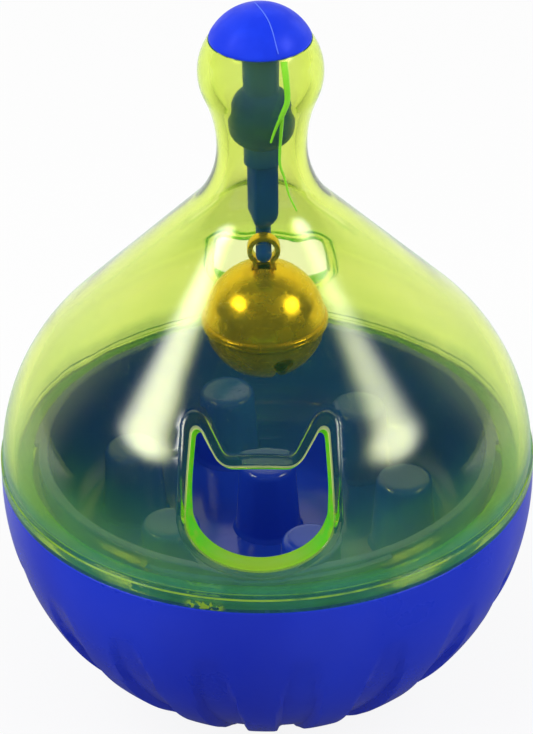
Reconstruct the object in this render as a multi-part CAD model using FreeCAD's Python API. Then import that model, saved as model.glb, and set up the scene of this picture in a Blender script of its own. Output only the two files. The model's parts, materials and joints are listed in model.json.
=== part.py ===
import FreeCAD, Part
import math
import os

# wobble treat dispenser, millimetres
# +Z is up, the front cat-face opening looks along -Y, the foot rests on z = 0

# round body
body_radius = 40.0
foot_radius = 8.9
rim_rise = 1.8
bowl_centre_z = math.sqrt(body_radius ** 2 - foot_radius ** 2)
seam_z = bowl_centre_z + rim_rise

# weighted base shell
base_wall = 2.4
rebate_depth = 2.2
rebate_wall = 1.8
ledge_width = 1.6
ledge_thickness = 2.0
groove_count = 18
groove_depth = 0.65
groove_share = 0.5
groove_top_latitude = 8.0
groove_low_latitude = 72.0
groove_turn_deg = 6.9

# ballast slug and its locating ring
slug_radius = 15.0
slug_height = 12.0
slug_gap = 0.3
slug_chamfer = 0.8
ring_wall = 1.6
ring_height = 6.0
ring_bore = slug_radius + slug_gap
base_floor_r = ring_bore + ring_wall
base_floor_z = bowl_centre_z - math.sqrt((body_radius - base_wall) ** 2 - base_floor_r ** 2)

# inner tray
collar_inset = 5.7
collar_wall = 1.5
collar_rise = 3.3
tray_floor_drop = 12.8
tray_floor_thickness = 2.0
tray_corner_radius = 7.0
flange_gap = 0.2
clamp_tube_radius = 7.0
clamp_tube_wall = 1.8
post_count = 6
post_wall_gap = 6.8
post_turn_deg = -17.0
post_top_radius = 4.2
post_foot_radius = 5.0
post_height = 11.8
post_round = 1.2
collar_radius = body_radius - collar_inset
post_circle_radius = collar_radius - collar_wall - post_wall_gap - post_foot_radius

# screw thread between tray collar and dome
thread_starts = 3
thread_lead = 6.0
thread_sweep_deg = 60.0
thread_depth = 0.8
thread_gap = 0.3
thread_side_gap = 0.1
thread_root_height = 0.9
thread_tip_height = 0.6
thread_bite = 0.5
thread_floor_gap = 0.1

# dome
dome_wall = 1.8
skirt_height = 2.3
skirt_step = 0.25
side_arc_radius = 30.0
side_arc_rise = 1.1
shoulder_radius = 15.3
neck_radius = 6.5
neck_rise = 53.9
bulb_radius = 9.0
bulb_over_neck = 11.6
rim_over_bulb = 5.1
bulb_rise = neck_rise + bulb_over_neck
bulb_top_rise = bulb_rise + rim_over_bulb

# cat-face openings
opening_count = 2
opening_turn_deg = -1.9
ear_half_span = 9.4
ear_rise = 25.1
brow_half_span = 5.4
brow_rise = 20.2
brow_arch = 0.3
cheek_half_span = 10.45
cheek_rise = 13.3
cheek_bulge = 0.15
chin_rise = 7.15
ear_round = 0.8
brow_round = 3.0
lip_width = 1.3
lip_proud = 0.6
lip_inside = 1.2

# knob plug with bell hook
cap_radius = 7.3
cap_height = 4.9
cap_edge = 0.35
column_radius = 2.6
centring_gap = 0.3
ball_over_neck = 4.5
column_under_neck = 2.7
stem_side = 3.7
stem_turn_deg = 23.5
stem_length = 8.6
hook_drop = 6.15
hook_radius = 1.15
hook_back = 2.5
hook_front = 2.3
hook_bend = 1.7

# jingle bell
bell_radius = 8.9
bell_wall = 0.5
crimp_radius = 9.3
crimp_height = 0.55
slot_width = 1.8
slot_hole_radius = 1.5
slot_hole_angle = 65.0
slot_turn_deg = -70.6
loop_hole_radius = 1.6
loop_thickness = 0.85
loop_width = 1.9
loop_over_bell = 0.35
hook_clearance = 0.1
strap_width = 3.4
strap_gap = 0.1
tab_reach = 2.6
tab_thickness = 0.45
pellet_radius = 2.4

# heights down the plug and the bell
column_end_z = seam_z + neck_rise - column_under_neck
stem_end_z = column_end_z - stem_length
hook_bar_z = stem_end_z - hook_drop
loop_z = hook_bar_z + hook_radius + hook_clearance - loop_hole_radius
bell_z = loop_z - loop_hole_radius - loop_thickness - loop_over_bell - bell_radius


# small helpers
def vec(x, y, z):
    return FreeCAD.Vector(x, y, z)


def at(r, z):
    return vec(r, 0, z)


def line(a, b):
    return Part.makeLine(a, b)


def arc(a, m, b):
    return Part.Arc(a, m, b).toShape()


def revolved(edges, angle=360):
    face = Part.Face(Part.Wire(edges))
    return face.revolve(vec(0, 0, 0), vec(0, 0, 1), angle)


def turned(shape, angle):
    copy = shape.copy()
    copy.rotate(vec(0, 0, 0), vec(0, 0, 1), angle)
    return copy


def tube(outer, inner, z0, z1):
    ring = Part.makeCylinder(outer, z1 - z0, vec(0, 0, z0))
    return ring.cut(Part.makeCylinder(inner, z1 - z0 + 2, vec(0, 0, z0 - 1)))


def on_circle(centre, radius, angle_deg):
    a = math.radians(angle_deg)
    return centre + vec(radius * math.cos(a), 0, radius * math.sin(a))


# helical thread ridges between two radii, one per start
def thread_ridges(root_r, tip_r, z_start):
    bite = thread_bite if tip_r > root_r else -thread_bite
    half_root = thread_root_height / 2
    half_tip = thread_tip_height / 2
    rise = thread_lead * thread_sweep_deg / 360
    path = Part.makeHelix(thread_lead, rise, root_r)
    corners = [
        at(root_r - bite, -half_root),
        at(root_r, -half_root),
        at(tip_r, -half_tip),
        at(tip_r, half_tip),
        at(root_r, half_root),
        at(root_r - bite, half_root),
    ]
    section = Part.makePolygon(corners + [corners[0]])
    ridge = Part.Wire(path.Edges).makePipeShell([section], True, True)
    ridge.translate(vec(0, 0, z_start))
    ridges = []
    for k in range(thread_starts):
        ridges.append(turned(ridge, 360.0 / thread_starts * k))
    return ridges


# base shell
def make_base_shell():
    inner = body_radius - base_wall
    c = at(0, bowl_centre_z)
    foot = -math.degrees(math.acos(foot_radius / body_radius))
    bowl = revolved([
        line(at(0, 0), at(foot_radius, 0)),
        arc(at(foot_radius, 0), on_circle(c, body_radius, foot / 2), at(body_radius, bowl_centre_z)),
        line(at(body_radius, bowl_centre_z), at(body_radius, seam_z)),
        line(at(body_radius, seam_z), at(0, seam_z)),
        line(at(0, seam_z), at(0, 0)),
    ])
    floor_angle = math.asin((base_floor_z - bowl_centre_z) / inner)
    hollow = revolved([
        line(at(0, base_floor_z), at(base_floor_r, base_floor_z)),
        arc(at(base_floor_r, base_floor_z), on_circle(c, inner, math.degrees(floor_angle) / 2),
            at(inner, bowl_centre_z)),
        line(at(inner, bowl_centre_z), at(inner, seam_z + 1)),
        line(at(inner, seam_z + 1), at(0, seam_z + 1)),
        line(at(0, seam_z + 1), at(0, base_floor_z)),
    ])
    shell = bowl.cut(hollow)
    # inner ledge that carries the tray flange
    ledge_z = seam_z - rebate_depth
    ledge_in = inner - ledge_width
    under = ledge_z - ledge_thickness
    ledge = revolved([
        line(at(ledge_in, ledge_z), at(body_radius - base_wall / 2, ledge_z)),
        line(at(body_radius - base_wall / 2, ledge_z),
             at(body_radius - base_wall / 2, under - ledge_width)),
        line(at(body_radius - base_wall / 2, under - ledge_width), at(ledge_in, under)),
        line(at(ledge_in, under), at(ledge_in, ledge_z)),
    ])
    shell = shell.fuse(ledge)
    shell = shell.cut(Part.makeCylinder(body_radius - rebate_wall, seam_z, vec(0, 0, ledge_z)))
    # ring that keeps the slug on the axis
    ring = tube(base_floor_r, ring_bore, base_floor_z - 1.0, base_floor_z + ring_height)
    shell = shell.fuse(ring)
    # shallow meridional grooves
    top = -groove_top_latitude
    low = -groove_low_latitude
    mid = (top + low) / 2
    lift = 0.2
    span = 360.0 / groove_count * groove_share
    cutter = revolved([
        arc(on_circle(c, body_radius + lift, top), on_circle(c, body_radius - groove_depth, mid),
            on_circle(c, body_radius + lift, low)),
        line(on_circle(c, body_radius + lift, low), on_circle(c, body_radius + 4, low)),
        arc(on_circle(c, body_radius + 4, low), on_circle(c, body_radius + 4, mid),
            on_circle(c, body_radius + 4, top)),
        line(on_circle(c, body_radius + 4, top), on_circle(c, body_radius + lift, top)),
    ], span)
    cutters = []
    for k in range(groove_count):
        cutters.append(turned(cutter, -90 + groove_turn_deg - span / 2 + 360.0 / groove_count * k))
    return shell.cut(Part.makeCompound(cutters))


# ballast slug
def make_ballast():
    slug = Part.makeCylinder(slug_radius, slug_height, vec(0, 0, base_floor_z))
    rims = [e for e in slug.Edges if len(e.Vertexes) == 1]
    return slug.makeChamfer(slug_chamfer, rims)


# inner tray with posts
def make_tray():
    floor_z = seam_z - tray_floor_drop
    under_z = floor_z - tray_floor_thickness
    top_z = seam_z + collar_rise
    bore = collar_radius - collar_wall
    r = tray_corner_radius
    half = math.sqrt(0.5)
    outer_r = r + collar_wall
    wall = revolved([
        line(at(0, floor_z), at(bore - r, floor_z)),
        arc(at(bore - r, floor_z), at(bore - r + r * half, floor_z + r - r * half),
            at(bore, floor_z + r)),
        line(at(bore, floor_z + r), at(bore, top_z - collar_wall / 5)),
        line(at(bore, top_z - collar_wall / 5), at(bore + collar_wall / 5, top_z)),
        line(at(bore + collar_wall / 5, top_z), at(collar_radius - collar_wall / 5, top_z)),
        line(at(collar_radius - collar_wall / 5, top_z), at(collar_radius, top_z - collar_wall / 5)),
        line(at(collar_radius, top_z - collar_wall / 5), at(collar_radius, under_z + outer_r)),
        arc(at(collar_radius, under_z + outer_r),
            at(collar_radius - outer_r + outer_r * half, under_z + outer_r - outer_r * half),
            at(collar_radius - outer_r, under_z)),
        line(at(collar_radius - outer_r, under_z), at(0, under_z)),
        line(at(0, under_z), at(0, floor_z)),
    ])
    # thread ridges round the collar, one step above those of the dome
    ridge_z = seam_z + thread_floor_gap + 1.5 * thread_root_height + thread_side_gap
    wall = wall.multiFuse(thread_ridges(collar_radius, collar_radius + thread_depth, ridge_z))
    # flange glued into the rebate of the base
    flange_r = body_radius - rebate_wall - flange_gap
    flange = tube(flange_r, collar_radius - collar_wall / 2,
                  seam_z - rebate_depth, seam_z - flange_gap)
    tray = wall.fuse(flange)
    # tube under the floor that holds the slug down
    slug_top = base_floor_z + slug_height
    tray = tray.fuse(tube(clamp_tube_radius, clamp_tube_radius - clamp_tube_wall,
                          slug_top, under_z + 0.5))
    # rounded posts that slow the food down
    post = Part.makeCone(post_foot_radius, post_top_radius, post_height, at(0, floor_z))
    head = [e for e in post.Edges if len(e.Vertexes) == 1 and e.BoundBox.ZMin > floor_z + 1]
    post = post.makeFillet(post_round, head)
    root = Part.makeCylinder(post_foot_radius, 1.0, at(0, floor_z - 1.0))
    post = post.fuse(root).removeSplitter()
    posts = [post]
    for k in range(post_count):
        one = post.copy()
        a = math.radians(post_turn_deg + 360.0 / post_count * k)
        one.translate(vec(post_circle_radius * math.sin(a), post_circle_radius * math.cos(a), 0))
        posts.append(one)
    tray = tray.multiFuse(posts)
    return tray.removeSplitter()


# outline of the dome in the r-z plane, offset inwards by a given amount
def dome_outline(inset, low_z):
    base_r = body_radius - skirt_step
    c1 = at(base_r - side_arc_radius, seam_z + side_arc_rise)
    c2 = at(neck_radius + shoulder_radius, seam_z + neck_rise)
    c4 = at(0, seam_z + bulb_rise)
    # rounding above the neck, tangent to the neck and to the bulb
    dz = bulb_rise - neck_rise
    waist = (dz ** 2 - (bulb_radius ** 2 - neck_radius ** 2)) / (2 * (bulb_radius - neck_radius))
    c3 = at(neck_radius + waist, seam_z + neck_rise)
    # straight cone between side arc and shoulder arc
    d = c2 - c1
    tilt = math.atan2(d.z, d.x) - math.acos((side_arc_radius + shoulder_radius) / d.Length)
    n = math.degrees(tilt)
    r1 = side_arc_radius - inset
    r2 = shoulder_radius + inset
    r3 = waist + inset
    r4 = bulb_radius - inset
    start_angle = math.degrees(math.asin((low_z - c1.z) / r1))
    p0 = on_circle(c1, r1, start_angle)
    p1 = on_circle(c1, r1, n)
    p2 = on_circle(c2, r2, n + 180)
    p3 = at(neck_radius - inset, seam_z + neck_rise)
    up = math.degrees(math.atan2(c3.z - c4.z, c3.x - c4.x))
    p4 = on_circle(c4, r4, up)
    top_z = seam_z + bulb_top_rise
    top_angle = math.degrees(math.asin((top_z - c4.z) / r4))
    p5 = on_circle(c4, r4, top_angle)
    edges = [
        arc(p0, on_circle(c1, r1, (start_angle + n) / 2), p1),
        line(p1, p2),
        arc(p2, on_circle(c2, r2, (n + 180 + 180) / 2), p3),
        arc(p3, on_circle(c3, r3, 180 + up / 2), p4),
        arc(p4, on_circle(c4, r4, (up + top_angle) / 2), p5),
    ]
    return edges, p0, p5


# solid of revolution inside a dome outline
def dome_body(inset, low_z):
    edges, p0, p5 = dome_outline(inset, low_z)
    edges.append(line(p5, at(0, p5.z)))
    edges.append(line(at(0, p5.z), at(0, p0.z)))
    edges.append(line(at(0, p0.z), p0))
    return revolved(edges)


# edge of a prism along Y that starts at a given place
def corner_edges(prism, x, z):
    found = []
    for e in prism.Edges:
        p = e.Vertexes[0].Point
        q = e.Vertexes[-1].Point
        if abs(p.y - q.y) > 1 and abs(abs(p.x) - x) < 0.02 and abs(p.z - z) < 0.02:
            found.append(e)
    return found


# prism of the cat-face outline, its edges moved outwards by a given amount
def cat_prism(grow):
    slope = math.atan2(ear_rise - brow_rise, ear_half_span - brow_half_span)
    lean = math.atan2(cheek_half_span - ear_half_span, ear_rise - cheek_rise)
    spread = math.cos(slope + lean)
    ear_x = ear_half_span + grow * (math.cos(slope) - math.sin(lean)) / spread
    ear_z = seam_z + ear_rise + grow * (math.sin(slope) + math.cos(lean)) / spread
    brow_x = brow_half_span - grow * math.tan(slope / 2)
    brow_z = seam_z + brow_rise + grow
    cheek_x = cheek_half_span + grow
    cheek_z = seam_z + cheek_rise
    chin_z = seam_z + chin_rise - grow
    y = -body_radius - 6
    side_x = (ear_x + cheek_x) / 2 + cheek_bulge
    side_z = (ear_z + cheek_z) / 2
    jaw = Part.Ellipse(vec(cheek_x, y, cheek_z), vec(0, y, chin_z), vec(0, y, cheek_z))
    outline = Part.Wire([
        line(vec(-ear_x, y, ear_z), vec(-brow_x, y, brow_z)),
        arc(vec(-brow_x, y, brow_z), vec(0, y, brow_z + brow_arch), vec(brow_x, y, brow_z)),
        line(vec(brow_x, y, brow_z), vec(ear_x, y, ear_z)),
        arc(vec(ear_x, y, ear_z), vec(side_x, y, side_z), vec(cheek_x, y, cheek_z)),
        Part.ArcOfEllipse(jaw, 0, math.pi).toShape(),
        arc(vec(-cheek_x, y, cheek_z), vec(-side_x, y, side_z), vec(-ear_x, y, ear_z)),
    ])
    prism = Part.Face(outline).extrude(vec(0, body_radius + 4, 0))
    prism = prism.makeFillet(ear_round + grow, corner_edges(prism, ear_x, ear_z))
    return prism.makeFillet(brow_round - grow, corner_edges(prism, brow_x, brow_z))


# dome
def make_dome():
    skirt_top = seam_z + skirt_height
    bore = collar_radius + thread_depth + thread_gap
    outer = dome_body(0, skirt_top)
    hollow = dome_body(dome_wall, skirt_top)
    shell = outer.cut(hollow)
    # thick skirt that carries the thread, with a stepped outer edge
    inner_wall = body_radius - skirt_step - dome_wall
    skirt = revolved([
        line(at(bore, seam_z), at(body_radius, seam_z)),
        line(at(body_radius, seam_z), at(body_radius, skirt_top - skirt_step)),
        line(at(body_radius, skirt_top - skirt_step), at(body_radius - skirt_step, skirt_top)),
        line(at(body_radius - skirt_step, skirt_top), at(body_radius - skirt_step - 0.4, skirt_top + 0.5)),
        line(at(body_radius - skirt_step - 0.4, skirt_top + 0.5), at(inner_wall - 0.2, skirt_top + 0.5)),
        line(at(inner_wall - 0.2, skirt_top + 0.5), at(bore, skirt_top - 0.3)),
        line(at(bore, skirt_top - 0.3), at(bore, seam_z)),
    ])
    ridge_z = seam_z + thread_floor_gap + thread_root_height / 2
    skirt = skirt.multiFuse(thread_ridges(bore, bore - thread_depth, ridge_z))
    dome = shell.fuse(skirt)
    # thickened lips round the cat faces
    band = dome_body(-lip_proud, skirt_top).cut(dome_body(dome_wall + lip_inside, skirt_top))
    lip = cat_prism(lip_width).common(band)
    hole = cat_prism(0)
    lips = []
    holes = []
    for k in range(opening_count):
        a = opening_turn_deg + 360.0 / opening_count * k
        lips.append(turned(lip, a))
        holes.append(turned(hole, a))
    dome = dome.multiFuse(lips)
    dome = dome.cut(Part.makeCompound(holes))
    return dome.removeSplitter()


# knob plug with its centring ball, stem and hook
def make_knob_plug():
    rim_z = seam_z + bulb_top_rise
    top_z = rim_z + cap_height
    ball_z = seam_z + neck_rise + ball_over_neck
    rise = cap_height - cap_edge
    ball_cap = (cap_radius ** 2 + rise ** 2) / (2 * rise)
    swell = on_circle(at(0, top_z - ball_cap), ball_cap, 60)
    # ball radius from the clear radius of the bulb at its centre height
    dz = bulb_rise - neck_rise
    waist = (dz ** 2 - (bulb_radius ** 2 - neck_radius ** 2)) / (2 * (bulb_radius - neck_radius))
    c3_r = neck_radius + waist
    c3_z = seam_z + neck_rise
    reach = math.hypot(c3_r, ball_z - c3_z)
    ball = reach - (waist + dome_wall) - centring_gap
    side = math.sqrt(ball ** 2 - column_radius ** 2)
    body = revolved([
        line(at(0, column_end_z), at(column_radius, column_end_z)),
        line(at(column_radius, column_end_z), at(column_radius, ball_z - side)),
        arc(at(column_radius, ball_z - side), at(ball, ball_z), at(column_radius, ball_z + side)),
        line(at(column_radius, ball_z + side), at(column_radius, rim_z)),
        line(at(column_radius, rim_z), at(cap_radius, rim_z)),
        line(at(cap_radius, rim_z), at(cap_radius, rim_z + cap_edge)),
        arc(at(cap_radius, rim_z + cap_edge), swell, at(0, top_z)),
        line(at(0, top_z), at(0, column_end_z)),
    ])
    # square stem, turned a little about its own axis
    half = stem_side / 2
    stem = Part.makeBox(stem_side, stem_side, stem_length + 0.5, vec(-half, -half, stem_end_z))
    stem = turned(stem, stem_turn_deg)
    # hook: down behind the loop, then forward through it
    start = vec(0, hook_back, stem_end_z + 1.2)
    turn_z = hook_bar_z + hook_bend
    q = hook_bend * (1 - math.sqrt(0.5))
    path = Part.Wire([
        line(start, vec(0, hook_back, turn_z)),
        arc(vec(0, hook_back, turn_z), vec(0, hook_back - q, hook_bar_z + q),
            vec(0, hook_back - hook_bend, hook_bar_z)),
        line(vec(0, hook_back - hook_bend, hook_bar_z), vec(0, -hook_front, hook_bar_z)),
    ])
    circle = Part.Wire(Part.makeCircle(hook_radius, start, vec(0, 0, -1)))
    hook = path.makePipeShell([circle], True, False)
    nose = Part.makeSphere(hook_radius, vec(0, -hook_front, hook_bar_z))
    # foot of the stem, tapering into the hook
    reach = hook_back + hook_radius
    foot_z = turn_z + 0.9
    upper = Part.Wire(Part.makePolygon([
        vec(-half, -half, stem_end_z), vec(half, -half, stem_end_z),
        vec(half, half, stem_end_z), vec(-half, half, stem_end_z), vec(-half, -half, stem_end_z)]))
    upper.rotate(vec(0, 0, stem_end_z), vec(0, 0, 1), stem_turn_deg)
    lower = Part.Wire(Part.makePolygon([
        vec(-hook_radius, hook_back - hook_radius, foot_z), vec(hook_radius, hook_back - hook_radius, foot_z),
        vec(hook_radius, reach, foot_z), vec(-hook_radius, reach, foot_z),
        vec(-hook_radius, hook_back - hook_radius, foot_z)]))
    foot = Part.makeLoft([upper, lower], True, True)
    plug = body.multiFuse([stem, foot, hook, nose])
    return plug.removeSplitter()


# bell shells
def bell_shell(upper):
    z = bell_z
    c = at(0, z)
    inner = bell_radius - bell_wall
    sign = 1 if upper else -1
    pole = sign * 90
    dome = revolved([
        arc(on_circle(c, bell_radius, 0), on_circle(c, bell_radius, pole / 2), at(0, z + sign * bell_radius)),
        line(at(0, z + sign * bell_radius), at(0, z + sign * inner)),
        arc(at(0, z + sign * inner), on_circle(c, inner, pole / 2), on_circle(c, inner, 0)),
        line(on_circle(c, inner, 0), on_circle(c, bell_radius, 0)),
    ])
    low = z if upper else z - crimp_height
    lip = tube(crimp_radius, inner + bell_wall / 2, low, low + crimp_height)
    return dome.fuse(lip)


def make_bell_upper():
    w = strap_width / 2 + strap_gap
    d = loop_width / 2 + strap_gap
    slot = Part.makeBox(2 * w, 2 * d, 4, vec(-w, -d, bell_z + bell_radius - 2.5))
    return bell_shell(True).cut(slot).removeSplitter()


def make_bell_lower():
    a = math.radians(slot_hole_angle)
    reach = bell_radius * math.sin(a)
    drop = bell_radius * math.cos(a)
    slot = Part.makeBox(2 * reach, slot_width, bell_radius,
                        vec(-reach, -slot_width / 2, bell_z - drop - bell_radius))
    cuts = [slot]
    for side in (-1, 1):
        out = vec(side * math.sin(a), 0, -math.cos(a))
        start = vec(0, 0, bell_z) + out * (bell_radius - 3)
        cuts.append(Part.makeCylinder(slot_hole_radius, 6, start, out))
    cuts = [turned(c, slot_turn_deg) for c in cuts]
    return bell_shell(False).cut(cuts).removeSplitter()


# strap loop with its two bent tabs inside the bell
def make_bell_loop():
    z = loop_z
    outer = loop_hole_radius + loop_thickness
    eye = Part.makeCylinder(outer, loop_width, vec(0, -loop_width / 2, z), vec(0, 1, 0))
    shank_low = bell_z + bell_radius - bell_wall - 0.9
    shank = Part.makeBox(strap_width, loop_width, z - outer * 0.6 - shank_low,
                         vec(-strap_width / 2, -loop_width / 2, shank_low))
    tab_top = bell_z + math.sqrt((bell_radius - bell_wall) ** 2 - tab_reach ** 2) - 0.25
    tab = Part.makeBox(2 * tab_reach, loop_width, tab_thickness,
                       vec(-tab_reach, -loop_width / 2, tab_top - tab_thickness))
    loop = eye.fuse(shank).fuse(tab)
    hole = Part.makeCylinder(loop_hole_radius, loop_width + 2, vec(0, -loop_width / 2 - 1, z), vec(0, 1, 0))
    return loop.cut(hole).removeSplitter()


def make_pellet():
    inner = bell_radius - bell_wall
    half = slot_width / 2
    edge_z = bell_z - math.sqrt(inner ** 2 - half ** 2)
    centre_z = edge_z + math.sqrt(pellet_radius ** 2 - half ** 2) + 0.02
    return Part.makeSphere(pellet_radius, vec(0, 0, centre_z))


os.makedirs("parts", exist_ok=True)
nodes = {
    "base_shell": make_base_shell,
    "ballast_slug": make_ballast,
    "food_tray": make_tray,
    "dome": make_dome,
    "knob_plug": make_knob_plug,
    "bell_upper_shell": make_bell_upper,
    "bell_lower_shell": make_bell_lower,
    "bell_hanging_loop": make_bell_loop,
    "bell_pellet": make_pellet,
}
for name, make in nodes.items():
    shape = make()
    box = shape.BoundBox
    print(name, shape.ShapeType, len(shape.Solids), shape.isValid(), round(shape.Volume, 1),
          round(box.XMin, 2), round(box.XMax, 2), round(box.YMin, 2), round(box.YMax, 2),
          round(box.ZMin, 2), round(box.ZMax, 2))
    shape.exportStep("parts/" + name + ".step")
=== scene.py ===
"""Looks of the wobble treat dispenser: fluted base, food tray, clear dome, knob plug and bell.

Sizes are in millimetres and angles in degrees unless a docstring says otherwise. Blender gets metres.
"""

import json
import logging
import math
from dataclasses import dataclass, field
from enum import Enum

import bmesh
import bpy
import numpy as np
from mathutils import Matrix, Vector
from mathutils.geometry import delaunay_2d_cdt

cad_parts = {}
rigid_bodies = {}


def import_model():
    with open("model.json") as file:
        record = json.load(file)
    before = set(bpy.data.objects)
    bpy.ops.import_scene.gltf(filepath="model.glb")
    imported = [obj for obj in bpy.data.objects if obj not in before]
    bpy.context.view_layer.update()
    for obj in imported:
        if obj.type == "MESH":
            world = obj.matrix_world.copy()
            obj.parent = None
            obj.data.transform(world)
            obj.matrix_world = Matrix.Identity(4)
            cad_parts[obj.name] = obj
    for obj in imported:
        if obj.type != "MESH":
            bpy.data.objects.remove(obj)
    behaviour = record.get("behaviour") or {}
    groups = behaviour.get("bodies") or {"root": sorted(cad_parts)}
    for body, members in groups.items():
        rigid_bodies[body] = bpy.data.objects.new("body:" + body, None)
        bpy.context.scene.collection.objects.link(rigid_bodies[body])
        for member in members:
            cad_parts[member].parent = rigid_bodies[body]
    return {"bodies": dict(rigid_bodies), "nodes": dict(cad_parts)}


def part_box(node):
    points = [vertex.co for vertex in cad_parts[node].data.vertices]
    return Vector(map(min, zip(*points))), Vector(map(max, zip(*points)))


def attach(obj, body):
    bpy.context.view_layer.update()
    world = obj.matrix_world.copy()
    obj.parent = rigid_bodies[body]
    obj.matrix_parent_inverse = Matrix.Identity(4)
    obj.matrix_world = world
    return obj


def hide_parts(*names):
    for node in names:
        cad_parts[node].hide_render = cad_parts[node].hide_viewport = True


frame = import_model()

MM = 0.001
EDGE_MARK = "cut_edge"
LOG = logging.getLogger("dispenser")

Socket = bpy.types.NodeSocket
Colour = tuple[float, float, float]
Point = tuple[float, float]


class Body(Enum):
    """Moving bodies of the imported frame."""

    BASE = "weighted_base"
    PLUG = "plug"
    DOME = "clear_dome"
    BELL = "bell"


class Slot(Enum):
    """Material slots of the record."""

    BASE_PLASTIC = "blue_base_plastic"
    IRON = "ballast_iron"
    TRAY_PLASTIC = "blue_tray_plastic"
    CLEAR_PLASTIC = "lime_clear_plastic"
    SOFT_PLUG = "blue_soft_plug"
    BRASS = "bell_brass"
    STEEL = "pellet_steel"


class Join(Enum):
    """How two closed meshes are combined."""

    UNION = "UNION"
    DIFFERENCE = "DIFFERENCE"


# ---------------------------------------------------------------- node graphs


class Graph:
    """Short spellings for building one node tree."""

    def __init__(self, tree: bpy.types.NodeTree) -> None:
        """Keeps the tree that is being built."""
        self.tree = tree

    def feed(self, socket: Socket, value: object) -> None:
        """Links another node's output to an input, or sets it to a plain value."""
        if isinstance(value, bpy.types.NodeSocket):
            self.tree.links.new(value, socket)
        else:
            socket.default_value = value

    def node(self, kind: str, inputs: dict | None = None, **settings: object) -> bpy.types.Node:
        """Adds a node.

        Args:
            kind: Blender's name of the node type.
            inputs: Values or outputs for its inputs, by name or number.
            settings: Properties of the node itself.

        Returns:
            The new node.
        """
        made = self.tree.nodes.new(kind)
        for name, value in settings.items():
            setattr(made, name, value)
        for key, value in (inputs or {}).items():
            self.feed(made.inputs[key], value)
        return made

    def sum(self, operation: str, *values: object) -> Socket:
        """Adds a math node with one to three operands and returns its result."""
        return self.node("ShaderNodeMath", dict(enumerate(values)), operation=operation).outputs[0]

    def vector(self, operation: str, *values: object) -> bpy.types.Node:
        """Adds a vector math node, whose outputs differ with the operation."""
        return self.node("ShaderNodeVectorMath", dict(enumerate(values)), operation=operation)

    def spread(self, value: object, low: object, high: object, to_low: float = 0.0,
               to_high: float = 1.0) -> Socket:
        """Maps a value smoothly from one range to another.

        Args:
            value: What is mapped.
            low: Start of the range it comes from.
            high: End of that range.
            to_low: Result at the start.
            to_high: Result at the end.

        Returns:
            The mapped value.
        """
        inputs = {0: value, 1: low, 2: high, 3: to_low, 4: to_high}
        made = self.node("ShaderNodeMapRange", inputs, interpolation_type="SMOOTHSTEP")
        return made.outputs[0]

    def blend(self, share: object, first: object, second: object) -> Socket:
        """Mixes two colours by the share of the second."""
        return self.node("ShaderNodeMix", {0: share, 6: first, 7: second}, data_type="RGBA").outputs[2]

    def between(self, share: object, first: object, second: object) -> Socket:
        """Mixes two numbers by the share of the second."""
        return self.node("ShaderNodeMix", {0: share, 2: first, 3: second}).outputs[0]

    def apart(self, first: object, second: object) -> Socket:
        """Distance between two numbers."""
        return self.sum("ABSOLUTE", self.sum("SUBTRACT", first, second))


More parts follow.
